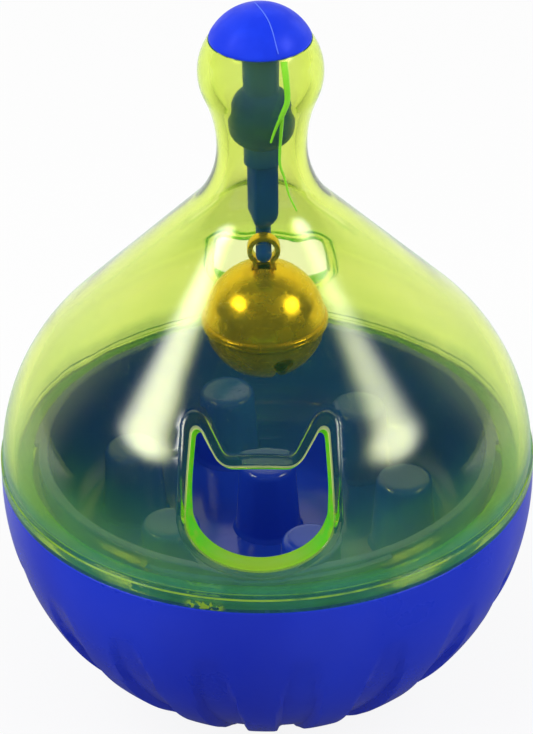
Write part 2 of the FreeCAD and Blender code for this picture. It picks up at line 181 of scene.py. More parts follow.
class Shader(Graph):
    """A material's graph, with patterns measured in millimetres on Object coordinates."""

    def __init__(self, name: str) -> None:
        """Starts an empty material of this name."""
        self.material = bpy.data.materials.new(name)
        self.material.use_nodes = True
        super().__init__(self.material.node_tree)
        self.tree.nodes.clear()
        self.place = self.node("ShaderNodeTexCoord").outputs["Object"]
        self.output = self.node("ShaderNodeOutputMaterial")

    def noise(self, size: float, detail: float = 3.0, stretch: tuple = (1, 1, 1),
              turn: float = 0.0) -> Socket:
        """Adds a noise pattern.

        Args:
            size: Size of its lumps in millimetres.
            detail: Number of finer octaves.
            stretch: Relative frequency along each axis.
            turn: Turn of the pattern about the vertical axis in degrees.

        Returns:
            The noise, about 0.5 on average.
        """
        scale = [s / (size * MM) for s in stretch]
        mapped = self.node("ShaderNodeMapping", {"Vector": self.place, "Scale": scale,
                                                 "Rotation": (0.0, 0.0, math.radians(turn))})
        inputs = {"Vector": mapped.outputs[0], "Scale": 1.0, "Detail": detail}
        return self.node("ShaderNodeTexNoise", inputs).outputs["Fac"]

    def scratches(self, length: float, width: float, turn: float, share: float) -> Socket:
        """Adds fine hairline marks.

        Args:
            length: Length of a mark in millimetres.
            width: Its width in millimetres.
            turn: Its direction about the vertical axis in degrees.
            share: How much of the surface stays clear, from 0.5 to 0.9.

        Returns:
            1 on a mark and 0 elsewhere.
        """
        lines = self.noise(length, 1.0, (1.0, length / width, length / width), turn)
        return self.spread(lines, share, share + 0.06)

    def bump(self, height: Socket, depth: float, under: Socket | None = None) -> Socket:
        """Turns a height pattern into a normal.

        Args:
            height: The pattern, from 0 to 1.
            depth: Its height in millimetres.
            under: A normal that it is laid on.

        Returns:
            The new normal.
        """
        inputs = {"Strength": 1.0, "Distance": depth * MM, "Height": height}
        if under is not None:
            inputs["Normal"] = under
        return self.node("ShaderNodeBump", inputs).outputs[0]

    def hairlines(self, marks: Socket, depth: float, under: Socket) -> Socket:
        """Cuts hairline marks, where the pattern is 1, to a depth into the normal under them."""
        return self.bump(self.sum("SUBTRACT", 1.0, marks), depth, under)

    def worn(self, rough: Socket, marks: Socket, dull: float) -> Socket:
        """Makes a surface rougher on its hairline marks."""
        return self.sum("ADD", rough, self.sum("MULTIPLY", marks, dull))

    def mixed(self, share: object, first: object, second: object) -> Socket:
        """Mixes two surface shaders by the share of the second."""
        return self.node("ShaderNodeMixShader", {0: share, 1: first, 2: second}).outputs[0]

    def milky(self, colour: Socket, normal: Socket, matte: float) -> Socket:
        """Adds a shader that throws a share of the light back and lets the rest through."""
        inputs = {"Color": colour, "Normal": normal}
        through = self.node("ShaderNodeBsdfTranslucent", inputs).outputs[0]
        return self.mixed(matte, through, self.node("ShaderNodeBsdfDiffuse", inputs).outputs[0])

    def skin(self, inputs: dict) -> bpy.types.Material:
        """Ends the material with one principled surface."""
        return self.close(self.node("ShaderNodeBsdfPrincipled", inputs).outputs[0])

    def height(self) -> Socket:
        """Height above the floor in millimetres."""
        split = self.node("ShaderNodeSeparateXYZ", {0: self.place})
        return self.sum("MULTIPLY", split.outputs[2], 1.0 / MM)

    def close(self, surface: Socket) -> bpy.types.Material:
        """Joins the finished surface shader to the output and returns the material."""
        self.feed(self.output.inputs["Surface"], surface)
        return self.material


# ------------------------------------------------------------------- finishes


@dataclass(frozen=True)
class MouldedPlastic:
    """Opaque injection moulded plastic: faint flow clouds, orange peel, hairline scratches."""

    name: str
    colour: Colour
    cloud_colour: Colour
    roughness: float = 0.3
    peel_depth: float = 0.012
    grain_depth: float = 0.002
    scratch_share: float = 0.66
    specular: float = 0.5

    def make(self) -> bpy.types.Material:
        """Builds the material."""
        s = Shader(self.name)
        clouds = s.spread(s.noise(26.0, 2.0, (1, 1, 0.5)), 0.35, 0.68)
        colour = s.blend(clouds, (*self.colour, 1), (*self.cloud_colour, 1))
        marks = s.scratches(9.0, 0.09, 20.0, self.scratch_share)
        cross = s.scratches(7.0, 0.07, -55.0, self.scratch_share + 0.02)
        hair = s.sum("MAXIMUM", marks, cross)
        rough = s.spread(s.noise(11.0, 4.0), 0.3, 0.7, self.roughness * 0.86, self.roughness * 1.18)
        peel = s.bump(s.noise(1.7, 2.0), self.peel_depth)
        grain = s.bump(s.noise(0.22, 2.0), self.grain_depth, peel)
        cut = s.hairlines(hair, 0.0035, grain)
        return s.skin({
            "Base Color": colour, "Roughness": s.worn(rough, hair, 0.12), "IOR": 1.49,
            "Specular IOR Level": self.specular, "Normal": cut})


@dataclass(frozen=True)
class SoftPlastic:
    """Matte rubbery plastic of the plug, with a fine spark-eroded grain and rubbed high spots."""

    name: str
    colour: Colour
    worn_colour: Colour
    roughness: float = 0.5

    def make(self) -> bpy.types.Material:
        """Builds the material."""
        s = Shader(self.name)
        rubbed = s.spread(s.noise(6.0, 4.0), 0.42, 0.72)
        colour = s.blend(rubbed, (*self.colour, 1), (*self.worn_colour, 1))
        rough = s.spread(s.noise(3.0, 3.0), 0.3, 0.7, self.roughness * 1.1, self.roughness * 0.8)
        grain = s.bump(s.noise(0.3, 3.0), 0.012)
        dents = s.bump(s.noise(4.5, 2.0), 0.05, grain)
        return s.skin({
            "Base Color": colour, "Roughness": rough, "IOR": 1.46,
            "Specular IOR Level": 0.3, "Normal": dents})


@dataclass(frozen=True)
class ClearTint:
    """See-through tinted plastic: absorbing walls, moulding ripples, haze, hairlines, and painted light at
    cut edges, step and outline.

    The zones of chin, brow, skirt and wall are heights over the seam between which a colour comes in or
    goes out. That of the rim, where a painted lime glow shows the wall seen edge-on, is a share of facing,
    and that of the step is a distance from its line.
    """

    name: str
    seam: float
    bulb: float
    chin_zone: Point = (6.5, 11.0)
    brow_zone: Point = (12.0, 20.0)
    skirt_zone: Point = (3.3, 6.3)
    wall_zone: Point = (5.3, 16.3)
    bulb_fade: float = 6.0
    # Facing range of the painted lime glow at the outline, where the wall is seen edge-on.
    outline_glow_zone: Point = (0.86, 0.99)
    step_rise: float = 2.15
    step_zone: Point = (0.04, 0.15)
    density: float = 420.0
    tint: Colour = (0.93, 0.995, 0.03)
    haze_colour: Colour = (0.12, 0.86, 0.46)
    haze: float = 0.014
    wall_colour: Colour = (0.30, 0.80, 0.32)
    wall_haze: float = 0.085
    skirt_colour: Colour = (0.07, 0.34, 0.42)
    skirt_haze: float = 0.17
    bulb_colour: Colour = (0.36, 0.86, 0.01)
    bulb_haze: float = 0.035
    # Share of the painted lime glow at the outline at its fullest.
    outline_glow: float = 0.24
    # Colours of painted light: lime at the cut faces and in the glow at the rim, yellow round the chin,
    # cream on the rounded corners at the brow.
    lime: Colour = (0.11, 0.66, 0.014)
    yellow: Colour = (0.36, 0.56, 0.045)
    cream: Colour = (0.74, 0.85, 0.40)
    chip_place: float = -9.2
    chip_half: float = 2.8
    chip_rise: float = 0.8
    roughness: float = 0.03
    ripple_depth: float = 0.03

    def zone(self, s: Shader, rises: Point, low: float = 0.0, high: float = 1.0) -> Socket:
        """Goes from one value below two heights over the seam to another above them."""
        return s.spread(s.height(), self.seam + rises[0], self.seam + rises[1], low, high)

    def edge(self, s: Shader, mark: Socket, normal: Socket) -> Socket:
        """Light that leaves the wall at its cut edges: yellow round the chin, green up the sides.

        Args:
            s: The material's graph.
            mark: 1 on a cut face and 0.5 on its rounded corners.
            normal: The surface's normal.

        Returns:
            The shader.
        """
        low = self.zone(s, self.chin_zone, 0.9, 0.0)
        tone = s.sum("MAXIMUM", low, s.spread(s.noise(1.3, 3.0), 0.42, 0.62, 0.0, 0.45))
        green = s.blend(tone, (*self.lime, 1), (*self.yellow, 1))
        # Painted highlight on the rounded corners of the cut: yellow low down, cream up at the brow.
        brow = self.zone(s, self.brow_zone)
        corner = s.blend(brow, (*self.yellow, 1), (*self.cream, 1))
        colour = s.blend(s.spread(mark, 0.6, 0.9), corner, green)
        return s.milky(colour, normal, 0.65)

    def chip(self, s: Shader) -> Socket:
        """Rough bruise on the front of the skirt.

        Args:
            s: The material's graph.

        Returns:
            1 on the bruise and 0 elsewhere.
        """
        split = s.node("ShaderNodeSeparateXYZ", {0: s.place}).outputs
        across = s.apart(split[0], self.chip_place * MM)
        near = s.spread(across, (self.chip_half - 1.0) * MM, (self.chip_half + 0.4) * MM, 1.0, 0.0)
        tall = s.apart(s.height(), self.seam + self.chip_rise)
        band = s.spread(tall, 0.3, 0.95, 1.0, 0.0)
        ragged = s.spread(s.noise(0.9, 3.0), 0.46, 0.54)
        front = s.sum("LESS_THAN", split[1], 0.0)
        return s.sum("MULTIPLY", s.sum("MULTIPLY", near, band), s.sum("MULTIPLY", ragged, front))

    def step(self, s: Shader) -> Socket:
        """Bright line where the light leaves the step above the skirt, broken here and there.

        Args:
            s: The material's graph.

        Returns:
            1 on the line and 0 elsewhere.
        """
        off = s.apart(s.height(), self.seam + self.step_rise)
        broken = s.spread(s.noise(6.0, 3.0), 0.3, 0.6, 0.2, 0.8)
        return s.sum("MULTIPLY", s.spread(off, *self.step_zone, 1.0, 0.0), broken)

    def cloud(self, s: Shader, normal: Socket) -> tuple[Socket, Socket]:
        """Haze of the plastic, denser and greener in the low wall, the skirt and the bulb, plus painted
        glow at the rim.

        Args:
            s: The material's graph.
            normal: The surface's normal.

        Returns:
            Its share and its shader.
        """
        patches = s.spread(s.noise(5.0, 3.0), 0.3, 0.7, 0.75, 1.25)
        wall = self.zone(s, self.wall_zone, 1.0, 0.0)
        skirt = self.zone(s, self.skirt_zone, 1.0, 0.0)
        bulb = s.spread(s.height(), self.bulb, self.bulb + self.bulb_fade)
        # Painted glow: lime mixed in where the wall is seen edge-on at the outline, standing in for light
        # carried along the wall.
        facing = s.node("ShaderNodeLayerWeight", {"Blend": 0.5}).outputs["Facing"]
        rim = s.spread(facing, *self.outline_glow_zone)
        colour: object = (*self.haze_colour, 1)
        share = s.spread(s.noise(14.0, 4.0), 0.3, 0.75, self.haze * 0.6, self.haze * 1.5)
        for place, tone, amount in ((wall, self.wall_colour, self.wall_haze),
                                    (skirt, self.skirt_colour, self.skirt_haze),
                                    (bulb, self.bulb_colour, self.bulb_haze),
                                    (rim, self.lime, self.outline_glow)):
            colour = s.blend(place, colour, (*tone, 1))
            share = s.sum("ADD", share, s.sum("MULTIPLY", s.sum("MULTIPLY", place, patches), amount))
        return share, s.milky(colour, normal, 0.7)

    def make(self) -> bpy.types.Material:
        """Builds the material."""
        s = Shader(self.name)
        ripple = s.bump(s.noise(9.0, 1.0, (1, 1, 0.7)), self.ripple_depth)
        peel = s.bump(s.noise(1.6, 1.0), 0.0022, ripple)
        hair = s.scratches(12.0, 0.06, 35.0, 0.7)
        cross = s.scratches(9.0, 0.05, -30.0, 0.72)
        marks = s.sum("MAXIMUM", hair, cross)
        cut = s.hairlines(marks, 0.002, peel)
        rough = s.spread(s.noise(7.0, 4.0), 0.35, 0.75, self.roughness * 0.6, self.roughness * 1.6)
        glass = s.node("ShaderNodeBsdfPrincipled", {
            "Base Color": (1.0, 1.0, 1.0, 1.0), "Roughness": s.worn(rough, marks, 0.1), "IOR": 1.49,
            "Transmission Weight": 1.0, "Normal": cut})
        share, cloudy = self.cloud(s, cut)
        wall = s.mixed(share, glass.outputs[0], cloudy)
        mark = s.node("ShaderNodeAttribute", attribute_name=EDGE_MARK).outputs["Fac"]
        lit = s.sum("MAXIMUM", s.spread(mark, 0.1, 0.9, 0.0, 0.85), s.sum("MULTIPLY", self.chip(s), 0.8))
        lit = s.sum("MAXIMUM", lit, self.step(s))
        wall = s.mixed(lit, wall, self.edge(s, mark, cut))
        clear = s.node("ShaderNodeBsdfTransparent", {"Color": (0.94, 0.96, 0.94, 1.0)})
        shadow = s.node("ShaderNodeLightPath").outputs["Is Shadow Ray"]
        volume = s.node("ShaderNodeVolumeAbsorption", {"Color": (*self.tint, 1), "Density": self.density})
        s.feed(s.output.inputs["Volume"], volume.outputs[0])
        return s.close(s.mixed(shadow, wall, clear.outputs[0]))


@dataclass(frozen=True)
class PlatedBrass:
    """Thin brass plating on the pressed bell: soft pressing waves, handling film, dark crevices."""

    name: str
    colour: Colour
    dark_colour: Colour
    crimp_height: float
    roughness: float = 0.22
    metal: float = 0.88

    def make(self) -> bpy.types.Material:
        """Builds the material."""
        s = Shader(self.name)
        near = s.spread(s.apart(s.height(), self.crimp_height), 0.35, 1.5, 1.0, 0.0)
        film = s.spread(s.noise(3.2, 5.0), 0.45, 0.75)
        dark = s.sum("MAXIMUM", s.sum("MULTIPLY", near, 0.6), s.sum("MULTIPLY", film, 0.35))
        colour = s.blend(dark, (*self.colour, 1), (*self.dark_colour, 1))
        marks = s.scratches(5.0, 0.05, 70.0, 0.66)
        rough = s.spread(s.noise(2.5, 4.0), 0.35, 0.7, self.roughness * 0.75, self.roughness * 1.5)
        wave = s.bump(s.noise(3.5, 1.0), 0.02)
        cut = s.hairlines(marks, 0.003, wave)
        return s.skin({
            "Base Color": colour, "Metallic": self.metal, "Roughness": s.worn(rough, marks, 0.12),
            "Normal": cut})


@dataclass(frozen=True)
class BareMetal:
    """Bare hidden metal: cast iron of the ballast or tumbled steel of the pellet."""

    name: str
    colour: Colour
    stain_colour: Colour
    roughness: float
    lump_size: float
    lump_depth: float

    def make(self) -> bpy.types.Material:
        """Builds the material."""
        s = Shader(self.name)
        stain = s.spread(s.noise(self.lump_size * 4, 5.0), 0.45, 0.72)
        colour = s.blend(stain, (*self.colour, 1), (*self.stain_colour, 1))
        rough = s.spread(s.noise(self.lump_size, 4.0), 0.3, 0.7, self.roughness * 0.8, self.roughness * 1.2)
        lumps = s.bump(s.noise(self.lump_size, 4.0), self.lump_depth)
        return s.skin({
            "Base Color": colour, "Metallic": 1.0, "Roughness": rough, "Normal": lumps})


# --------------------------------------------------------------- mesh helpers


class Profile:
    """Half outline of a turned piece in millimetres, walked from point to point."""

    def __init__(self, r: float, z: float) -> None:
        """Starts at a radius and a height."""
        self.points: list[Point] = [(r, z)]
        self.corners: dict[int, float] = {}

    def line(self, r: float, z: float, soft: float = 0.0, step: float = 1.2) -> "Profile":
        """Goes straight to a point.

        Args:
            r: Radius of the point.
            z: Its height.
            soft: Reach of the rounding of the corner there.
            step: Longest stretch between two points.

        Returns:
            The profile itself.
        """
        r0, z0 = self.points[-1]
        count = max(1, math.ceil(math.hypot(r - r0, z - z0) / step))
        for k in range(1, count + 1):
            t = k / count
            self.points.append((r0 + (r - r0) * t, z0 + (z - z0) * t))
        self.corners[len(self.points) - 1] = soft
        return self

    def arc(self, centre: Point, radius: float, start: float, end: float, soft: float = 0.0,
            step: float = 0.8) -> "Profile":
        """Follows an arc.

        Args:
            centre: Centre of the arc.
            radius: Its radius.
            start: Angle at its start in degrees.
            end: Angle at its end in degrees.
            soft: Reach of the rounding of the corner at its end.
            step: Longest stretch between two points.

        Returns:
            The profile itself.
        """
        sweep = math.radians(end - start)
        count = max(3, math.ceil(abs(sweep) * radius / step))
        for k in range(count + 1):
            a = math.radians(start) + sweep * k / count
            p = (centre[0] + radius * math.cos(a), centre[1] + radius * math.sin(a))
            if math.dist(p, self.points[-1]) > 1e-4:
                self.points.append(p)
        self.corners[len(self.points) - 1] = soft
        return self

    def traced(self) -> np.ndarray:
        """The outline with its corners rounded, as an array of radius and height."""
        pts = np.array(self.points)
        along = np.concatenate([[0], np.cumsum(np.hypot(*np.diff(pts, axis=0).T))])
        rounds = sorted((i, t) for i, t in self.corners.items() if t > 0 and 0 < i < len(pts) - 1)
        out: list[Point] = []
        done = -1.0
        for i, t in rounds:
            for j in range(len(pts)):
                if done + 1e-6 < along[j] < along[i] - t - 1e-6:
                    out.append(tuple(pts[j]))
            a = self._at(pts, along, along[i] - t)
            b = self._at(pts, along, along[i] + t)
            for k in range(6):
                u = k / 5
                out.append(tuple((1 - u) ** 2 * a + 2 * u * (1 - u) * pts[i] + u * u * b))
            done = along[i] + t
        out += [tuple(pts[j]) for j in range(len(pts)) if along[j] > done + 1e-6]
        return np.array(out)

    @staticmethod
    def _at(pts: np.ndarray, along: np.ndarray, s: float) -> np.ndarray:
        """Point at a distance along the outline."""
        return np.array([np.interp(s, along, pts[:, 0]), np.interp(s, along, pts[:, 1])])


class MeshStock:
    """Vertices and faces gathered for one mesh, in millimetres."""

    def __init__(self) -> None:
        """Starts empty."""
        self.verts: list[np.ndarray] = []
        self.faces: list[tuple[int, ...]] = []
        self.marks: list[float] = []
        self.count = 0

    def add(self, verts: np.ndarray, faces: list[tuple[int, ...]],
            marks: list[float] | None = None) -> None:
        """Adds a patch.

        Args:
            verts: Its points, one row each.
            faces: Its faces, numbered within the patch.
            marks: How much each face belongs to a cut edge, none if left out.
        """
        self.verts.append(np.asarray(verts, float))
        self.faces += [tuple(i + self.count for i in f) for f in faces]
        self.marks += marks or [0.0] * len(faces)
        self.count += len(verts)

    def turned(self, outline: np.ndarray, turns: np.ndarray) -> "MeshStock":
        """Adds a surface of revolution about the vertical axis.

        Args:
            outline: Radius and height of its outline.
            turns: Angles of its columns in radians, one full turn without its end.

        Returns:
            The stock itself.
        """
        faces = [face for row in range(len(outline) - 1) for face in quad_band(row, len(turns))]
        self.add(revolved(outline[:, 0], outline[:, 1], turns), faces)
        return self

    def tube(self, rings: np.ndarray) -> "MeshStock":
        """Adds a closed tube through rings of points, with flat ends.

        Args:
            rings: Array of rings, points and coordinates.

        Returns:
            The stock itself.
        """
        n, m = rings.shape[:2]
        faces = [tuple(range(m)), tuple((n - 1) * m + k for k in reversed(range(m)))]
        for i in range(n - 1):
            for k in range(m):
                q = (k + 1) % m
                faces.append((i * m + k, (i + 1) * m + k, (i + 1) * m + q, i * m + q))
        self.add(rings.reshape(-1, 3), faces)
        return self

    def build(self, name: str, sharp: float = 35.0, merge: float = 1e-4) -> bpy.types.Object:
        """Makes the object.

        Args:
            name: Its name.
            sharp: Angle in degrees past which an edge shows as a crease.
            merge: Distance in millimetres within which points are joined.

        Returns:
            A mesh object in metres, closed and facing outwards.
        """
        mesh = bpy.data.meshes.new(name)
        mesh.from_pydata((np.concatenate(self.verts) * MM).tolist(), [], self.faces)
        if any(self.marks):
            mesh.attributes.new(EDGE_MARK, "FLOAT", "FACE").data.foreach_set("value", self.marks)
        tidy_mesh(mesh, sharp, merge)
        return placed(name, mesh)


def tidy_mesh(mesh: bpy.types.Mesh, sharp: float, merge: float = 1e-4) -> None:
    """Joins doubled points, turns faces outwards and marks creases.

    Args:
        mesh: The mesh.
        sharp: Crease angle in degrees.
        merge: Joining distance in millimetres.
    """
    work = bmesh.new()
    work.from_mesh(mesh)
    bmesh.ops.remove_doubles(work, verts=work.verts, dist=merge * MM)
    bmesh.ops.dissolve_degenerate(work, edges=work.edges, dist=merge * MM)
    bmesh.ops.recalc_face_normals(work, faces=work.faces)
    for face in work.faces:
        face.smooth = True
    work.to_mesh(mesh)
    work.free()
    mesh.set_sharp_from_angle(angle=math.radians(sharp))


def smooth(t: float | np.ndarray) -> float | np.ndarray:
    """Eases a share from 0 to 1 in and out."""
    return t * t * (3 - 2 * t)


def revolved(radii: np.ndarray, heights: np.ndarray, turns: np.ndarray) -> np.ndarray:
    """Points of an outline turned about the vertical axis, row by row, with the turns in radians."""
    r, z = radii[:, None], heights[:, None]
    return np.stack([r * np.sin(turns), -r * np.cos(turns), z + 0 * turns], -1).reshape(-1, 3)


def quad_band(row: int, columns: int) -> list[tuple[int, ...]]:
    """Faces between one row of a grid and the next, each row closed on itself."""
    low, high = row * columns, (row + 1) * columns
    after = [(k + 1) % columns for k in range(columns)]
    return [(low + k, low + q, high + q, high + k) for k, q in enumerate(after)]


def directions(points: np.ndarray) -> np.ndarray:
    """Unit direction of a path at each of its points."""
    run = np.gradient(points, axis=0)
    return run / np.linalg.norm(run, axis=1)[:, None]


def box_rings(half_x: float, half_y: float, low: float, high: float) -> np.ndarray:
    """Foot and head of an upright box about the axis, as rings of four points."""
    ring = np.array([[-half_x, -half_y], [half_x, -half_y], [half_x, half_y], [-half_x, half_y]])
    return np.array([np.column_stack([ring, np.full(4, z)]) for z in (low, high)])


def placed(name: str, data: bpy.types.ID) -> bpy.types.Object:
    """Adds an object with this data to the scene."""
    made = bpy.data.objects.new(name, data)
    bpy.context.scene.collection.objects.link(made)
    return made


def even_turns(count: int) -> np.ndarray:
    """Angles of evenly spread columns."""
    return np.arange(count) * 2 * math.pi / count


def combine(base: bpy.types.Object, other: bpy.types.Object, how: Join, sharp: float = 35.0) -> None:
    """Combines two closed meshes into the first and removes the second.

    Args:
        base: The piece that is kept.
        other: What is added or cut away.
        how: Union or difference.
        sharp: Crease angle of the result in degrees.
    """
    step = base.modifiers.new("combine", "BOOLEAN")
    step.operation = how.value
    step.object = other
    step.solver = "EXACT"
    bake_modifiers(base)
    bpy.data.objects.remove(other)
    tidy_mesh(base.data, sharp)


def bake_modifiers(obj: bpy.types.Object) -> None:
    """Turns an object with modifiers into a plain mesh."""
    bpy.context.view_layer.update()
    graph = bpy.context.evaluated_depsgraph_get()
    plain = bpy.data.meshes.new_from_object(obj.evaluated_get(graph), depsgraph=graph)
    plain.name = obj.name
    obj.modifiers.clear()
    old = obj.data
    obj.data = plain
    bpy.data.meshes.remove(old)


def dress(obj: bpy.types.Object, material: bpy.types.Material, body: Body, slot: Slot, *nodes: str) -> None:
    """Gives a finished piece its material, its body and the nodes it stands for.

    Args:
        obj: The piece.
        material: Its material.
        body: The body it moves with.
        slot: The record's material slot; not used.
        nodes: CAD nodes that it replaces.
    """
    obj.data.materials.clear()
    obj.data.materials.append(material)
    obj.data.polygons.foreach_set("material_index", [0] * len(obj.data.polygons))
    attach(obj, body.value)
    if nodes:
        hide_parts(*nodes)
    LOG.info("%s: %d faces on %s", obj.name, len(obj.data.polygons), body.value)


def dress_node(name: str, material: bpy.types.Material) -> None:
    """Gives a CAD node that stays visible a better material.

    Args:
        name: The node.
        material: Its material.
    """
    node = frame["nodes"][name]
    node.data.materials.clear()
    node.data.materials.append(material)
    LOG.info("%s: CAD node kept", name)


class RuleTree(Graph):
    """A Geometry Nodes tree with named inputs, run once on an object."""

    def __init__(self, name: str) -> None:
        """Starts a tree with a geometry input and output."""
        super().__init__(bpy.data.node_groups.new(name, "GeometryNodeTree"))
        for way in ("INPUT", "OUTPUT"):
            self.tree.interface.new_socket("Geometry", in_out=way, socket_type="NodeSocketGeometry")
        self.inlet = self.node("NodeGroupInput")
        self.outlet = self.node("NodeGroupOutput")
        self.values: dict[str, object] = {}

    def size(self, name: str, value: float | int) -> Socket:
        """Declares a named size of the rule.

        Args:
            name: The input's name.
            value: Its value in this object, in metres, degrees or a count.

        Returns:
            The input inside the tree.
        """
        kind = "NodeSocketInt" if isinstance(value, int) else "NodeSocketFloat"
        item = self.tree.interface.new_socket(name, in_out="INPUT", socket_type=kind)
        self.values[item.identifier] = value
        return self.inlet.outputs[name]

    def material(self, material: bpy.types.Material) -> Socket:
        item = self.tree.interface.new_socket("Material", in_out="INPUT", socket_type="NodeSocketMaterial")
        self.values[item.identifier] = material
        return self.inlet.outputs["Material"]

    def upright(self, length: object) -> Socket:
        """Vector along the vertical axis."""
        return self.node("ShaderNodeCombineXYZ", {2: length}).outputs[0]

    def moved(self, geometry: Socket, **how: object) -> Socket:
        """Turns or shifts a geometry by the named inputs."""
        return self.node("GeometryNodeTransform", {"Geometry": geometry, **how}).outputs[0]

    def run(self, obj: bpy.types.Object, result: Socket, finish: Socket) -> bpy.types.Object:
        """Ends the tree and turns the object into its result.

        Args:
            obj: The object that carries the tree.
            result: The geometry to show.
            finish: The material input.

        Returns:
            The object as a plain mesh.
        """
        real = self.node("GeometryNodeRealizeInstances", {0: result})
        final = self.node("GeometryNodeSetMaterial", {"Geometry": real.outputs[0], "Material": finish})
        self.tree.links.new(final.outputs[0], self.outlet.inputs[0])
        step = obj.modifiers.new("rule", "NODES")
        step.node_group = self.tree
        for identifier, value in self.values.items():
            step[identifier] = value
        bake_modifiers(obj)
        return obj


@dataclass(frozen=True)
class Thread:
    """Section and winding of the ridges that hold the dome, the same on collar and skirt."""

    depth: float = 0.8
    lead: float = 6.0
    sweep: float = 60.0
    starts: int = 3
    root: float = 0.9
    tip: float = 0.6

    @property
    def climb(self) -> float:
        """Rise of a ridge from end to end."""
        return self.lead * self.sweep / 360.0


# ---------------------------------------------------------------- fluted base


@dataclass
class FlutedBase:
    """Round weighted base with its flutes, rebate for the tray and ring for the slug."""

    radius: float = 40.0
    foot_radius: float = 8.9
    rim_rise: float = 1.8
    wall: float = 2.4
    rebate_depth: float = 2.2
    rebate_wall: float = 1.8
    ledge_width: float = 1.6
    ledge_thickness: float = 2.0
    ring_bore: float = 15.3
    ring_wall: float = 1.6
    ring_height: float = 6.0
    flute_count: int = 18
    flute_depth: float = 1.15
    flute_lift: float = 0.2
    flute_half_width: float = 5.0
    flute_edge: float = 0.7
    flute_waist: float = 0.65
    flute_columns: int = 20
    flute_top: float = 8.0
    flute_low: float = 72.0
    flute_turn: float = 6.9
    skin_depth: float = 0.3

    @property
    def centre(self) -> float:
        """Height of the centre of the round bowl."""
        return math.sqrt(self.radius ** 2 - self.foot_radius ** 2)

    @property
    def seam(self) -> float:
        """Height of the seam between base and dome."""
        return self.centre + self.rim_rise

    def outline(self) -> np.ndarray:
        """Closed outline of the shell, from the axis under the foot to the axis on the floor."""
        c, inner = self.centre, self.radius - self.wall
        floor_r = self.ring_bore + self.ring_wall
        floor_z = c - math.sqrt(inner ** 2 - floor_r ** 2)
        start = -math.degrees(math.acos(self.foot_radius / self.radius))
        ledge_z = self.seam - self.rebate_depth
        ledge_in = inner - self.ledge_width
        under = ledge_z - self.ledge_thickness
        meet = math.degrees(math.asin((under - self.ledge_width - c) / inner))
        turn = math.degrees(math.asin((floor_z - c) / inner))
        shape = Profile(0, 0).line(self.foot_radius, 0, 0.5)
        shape.arc((0, c), self.radius, start, 0).line(self.radius, self.seam, 0.28, 0.4)
        shape.line(self.radius - self.rebate_wall, self.seam, 0.28, 0.4)
        shape.line(self.radius - self.rebate_wall, ledge_z)
        shape.line(ledge_in, ledge_z, 0.3).line(ledge_in, under, 0.3)
        shape.line(inner * math.cos(math.radians(meet)), c + inner * math.sin(math.radians(meet)))
        shape.arc((0, c), inner, meet, turn + 3.0, step=2.0)
        ring_z = floor_z + self.ring_height
        shape.line(floor_r, ring_z, 0.3).line(self.ring_bore, ring_z, 0.3)
        shape.line(self.ring_bore, floor_z).line(0, floor_z)
        return shape.traced()

    def columns(self) -> np.ndarray:
        """Angles of the columns, the same number to every flute."""
        return even_turns(self.flute_count * self.flute_columns)

    def fluted(self, obj: bpy.types.Object, material: bpy.types.Material) -> bpy.types.Object:
        """Presses the flutes into the turned shell by rule.

        Args:
            obj: The turned shell.
            material: Its material.

        Returns:
            The fluted shell.
        """
        t = RuleTree("flute_rule")
        radius = t.size("Bowl Radius", self.radius * MM)
        centre = t.size("Bowl Centre", self.centre * MM)
        count = t.size("Flutes", self.flute_count)
        depth = t.size("Depth", self.flute_depth * MM)
        lift = t.size("Cutter Lift", self.flute_lift * MM)
        half = t.size("Half Width", self.flute_half_width)
        edge = t.size("Edge", self.flute_edge)
        waist = t.size("End Taper", self.flute_waist)
        turn = t.size("Turn", self.flute_turn)
        top = t.size("Top Latitude", self.flute_top)
        low = t.size("Low Latitude", self.flute_low)
        finish = t.material(material)
        place = t.node("GeometryNodeInputPosition").outputs[0]
        arm = t.vector("SUBTRACT", place, t.upright(centre)).outputs[0]
        reach = t.vector("LENGTH", arm).outputs["Value"]
        split = t.node("ShaderNodeSeparateXYZ", {0: arm}).outputs
        azimuth = t.sum("DEGREES", t.sum("ARCTAN2", split[0], t.sum("MULTIPLY", split[1], -1.0)))
        pitch = t.sum("DIVIDE", 360.0, count)
        phase = t.sum("DIVIDE", t.sum("SUBTRACT", azimuth, turn), pitch)
        off = t.sum("MULTIPLY", t.apart(phase, t.sum("ROUND", phase)), pitch)
        latitude = t.sum("DEGREES", t.sum("ARCSINE", t.sum("DIVIDE", split[2], reach)))
        middle = t.sum("MULTIPLY", t.sum("ADD", top, low), -0.5)
        swing = t.sum("MULTIPLY", t.sum("SUBTRACT", low, top), 0.5)
        share = t.sum("ABSOLUTE", t.sum("DIVIDE", t.sum("SUBTRACT", latitude, middle), swing))
        share = t.sum("POWER", share, 2.0)
        leaf = t.sum("MULTIPLY", half, t.sum("SUBTRACT", 1.0, t.sum("MULTIPLY", share, waist)))
        across = t.spread(off, t.sum("SUBTRACT", leaf, edge), t.sum("ADD", leaf, edge), 1.0, 0.0)
        cut = t.sum("SUBTRACT", depth, t.sum("MULTIPLY", t.sum("ADD", depth, lift), share))
        cut = t.sum("MULTIPLY", t.sum("MAXIMUM", cut, 0.0), across)
        outer = t.sum("GREATER_THAN", reach, t.sum("SUBTRACT", radius, self.skin_depth * MM))
        below = t.sum("LESS_THAN", split[2], 0.0)
        cut = t.sum("MULTIPLY", cut, t.sum("MULTIPLY", outer, below))
        push = t.vector("SCALE", t.vector("NORMALIZE", arm).outputs[0])
        t.feed(push.inputs["Scale"], t.sum("MULTIPLY", cut, -1.0))
        moved = t.node("GeometryNodeSetPosition", {
            "Geometry": t.inlet.outputs[0], "Offset": push.outputs[0]})
        return t.run(obj, moved.outputs[0], finish)

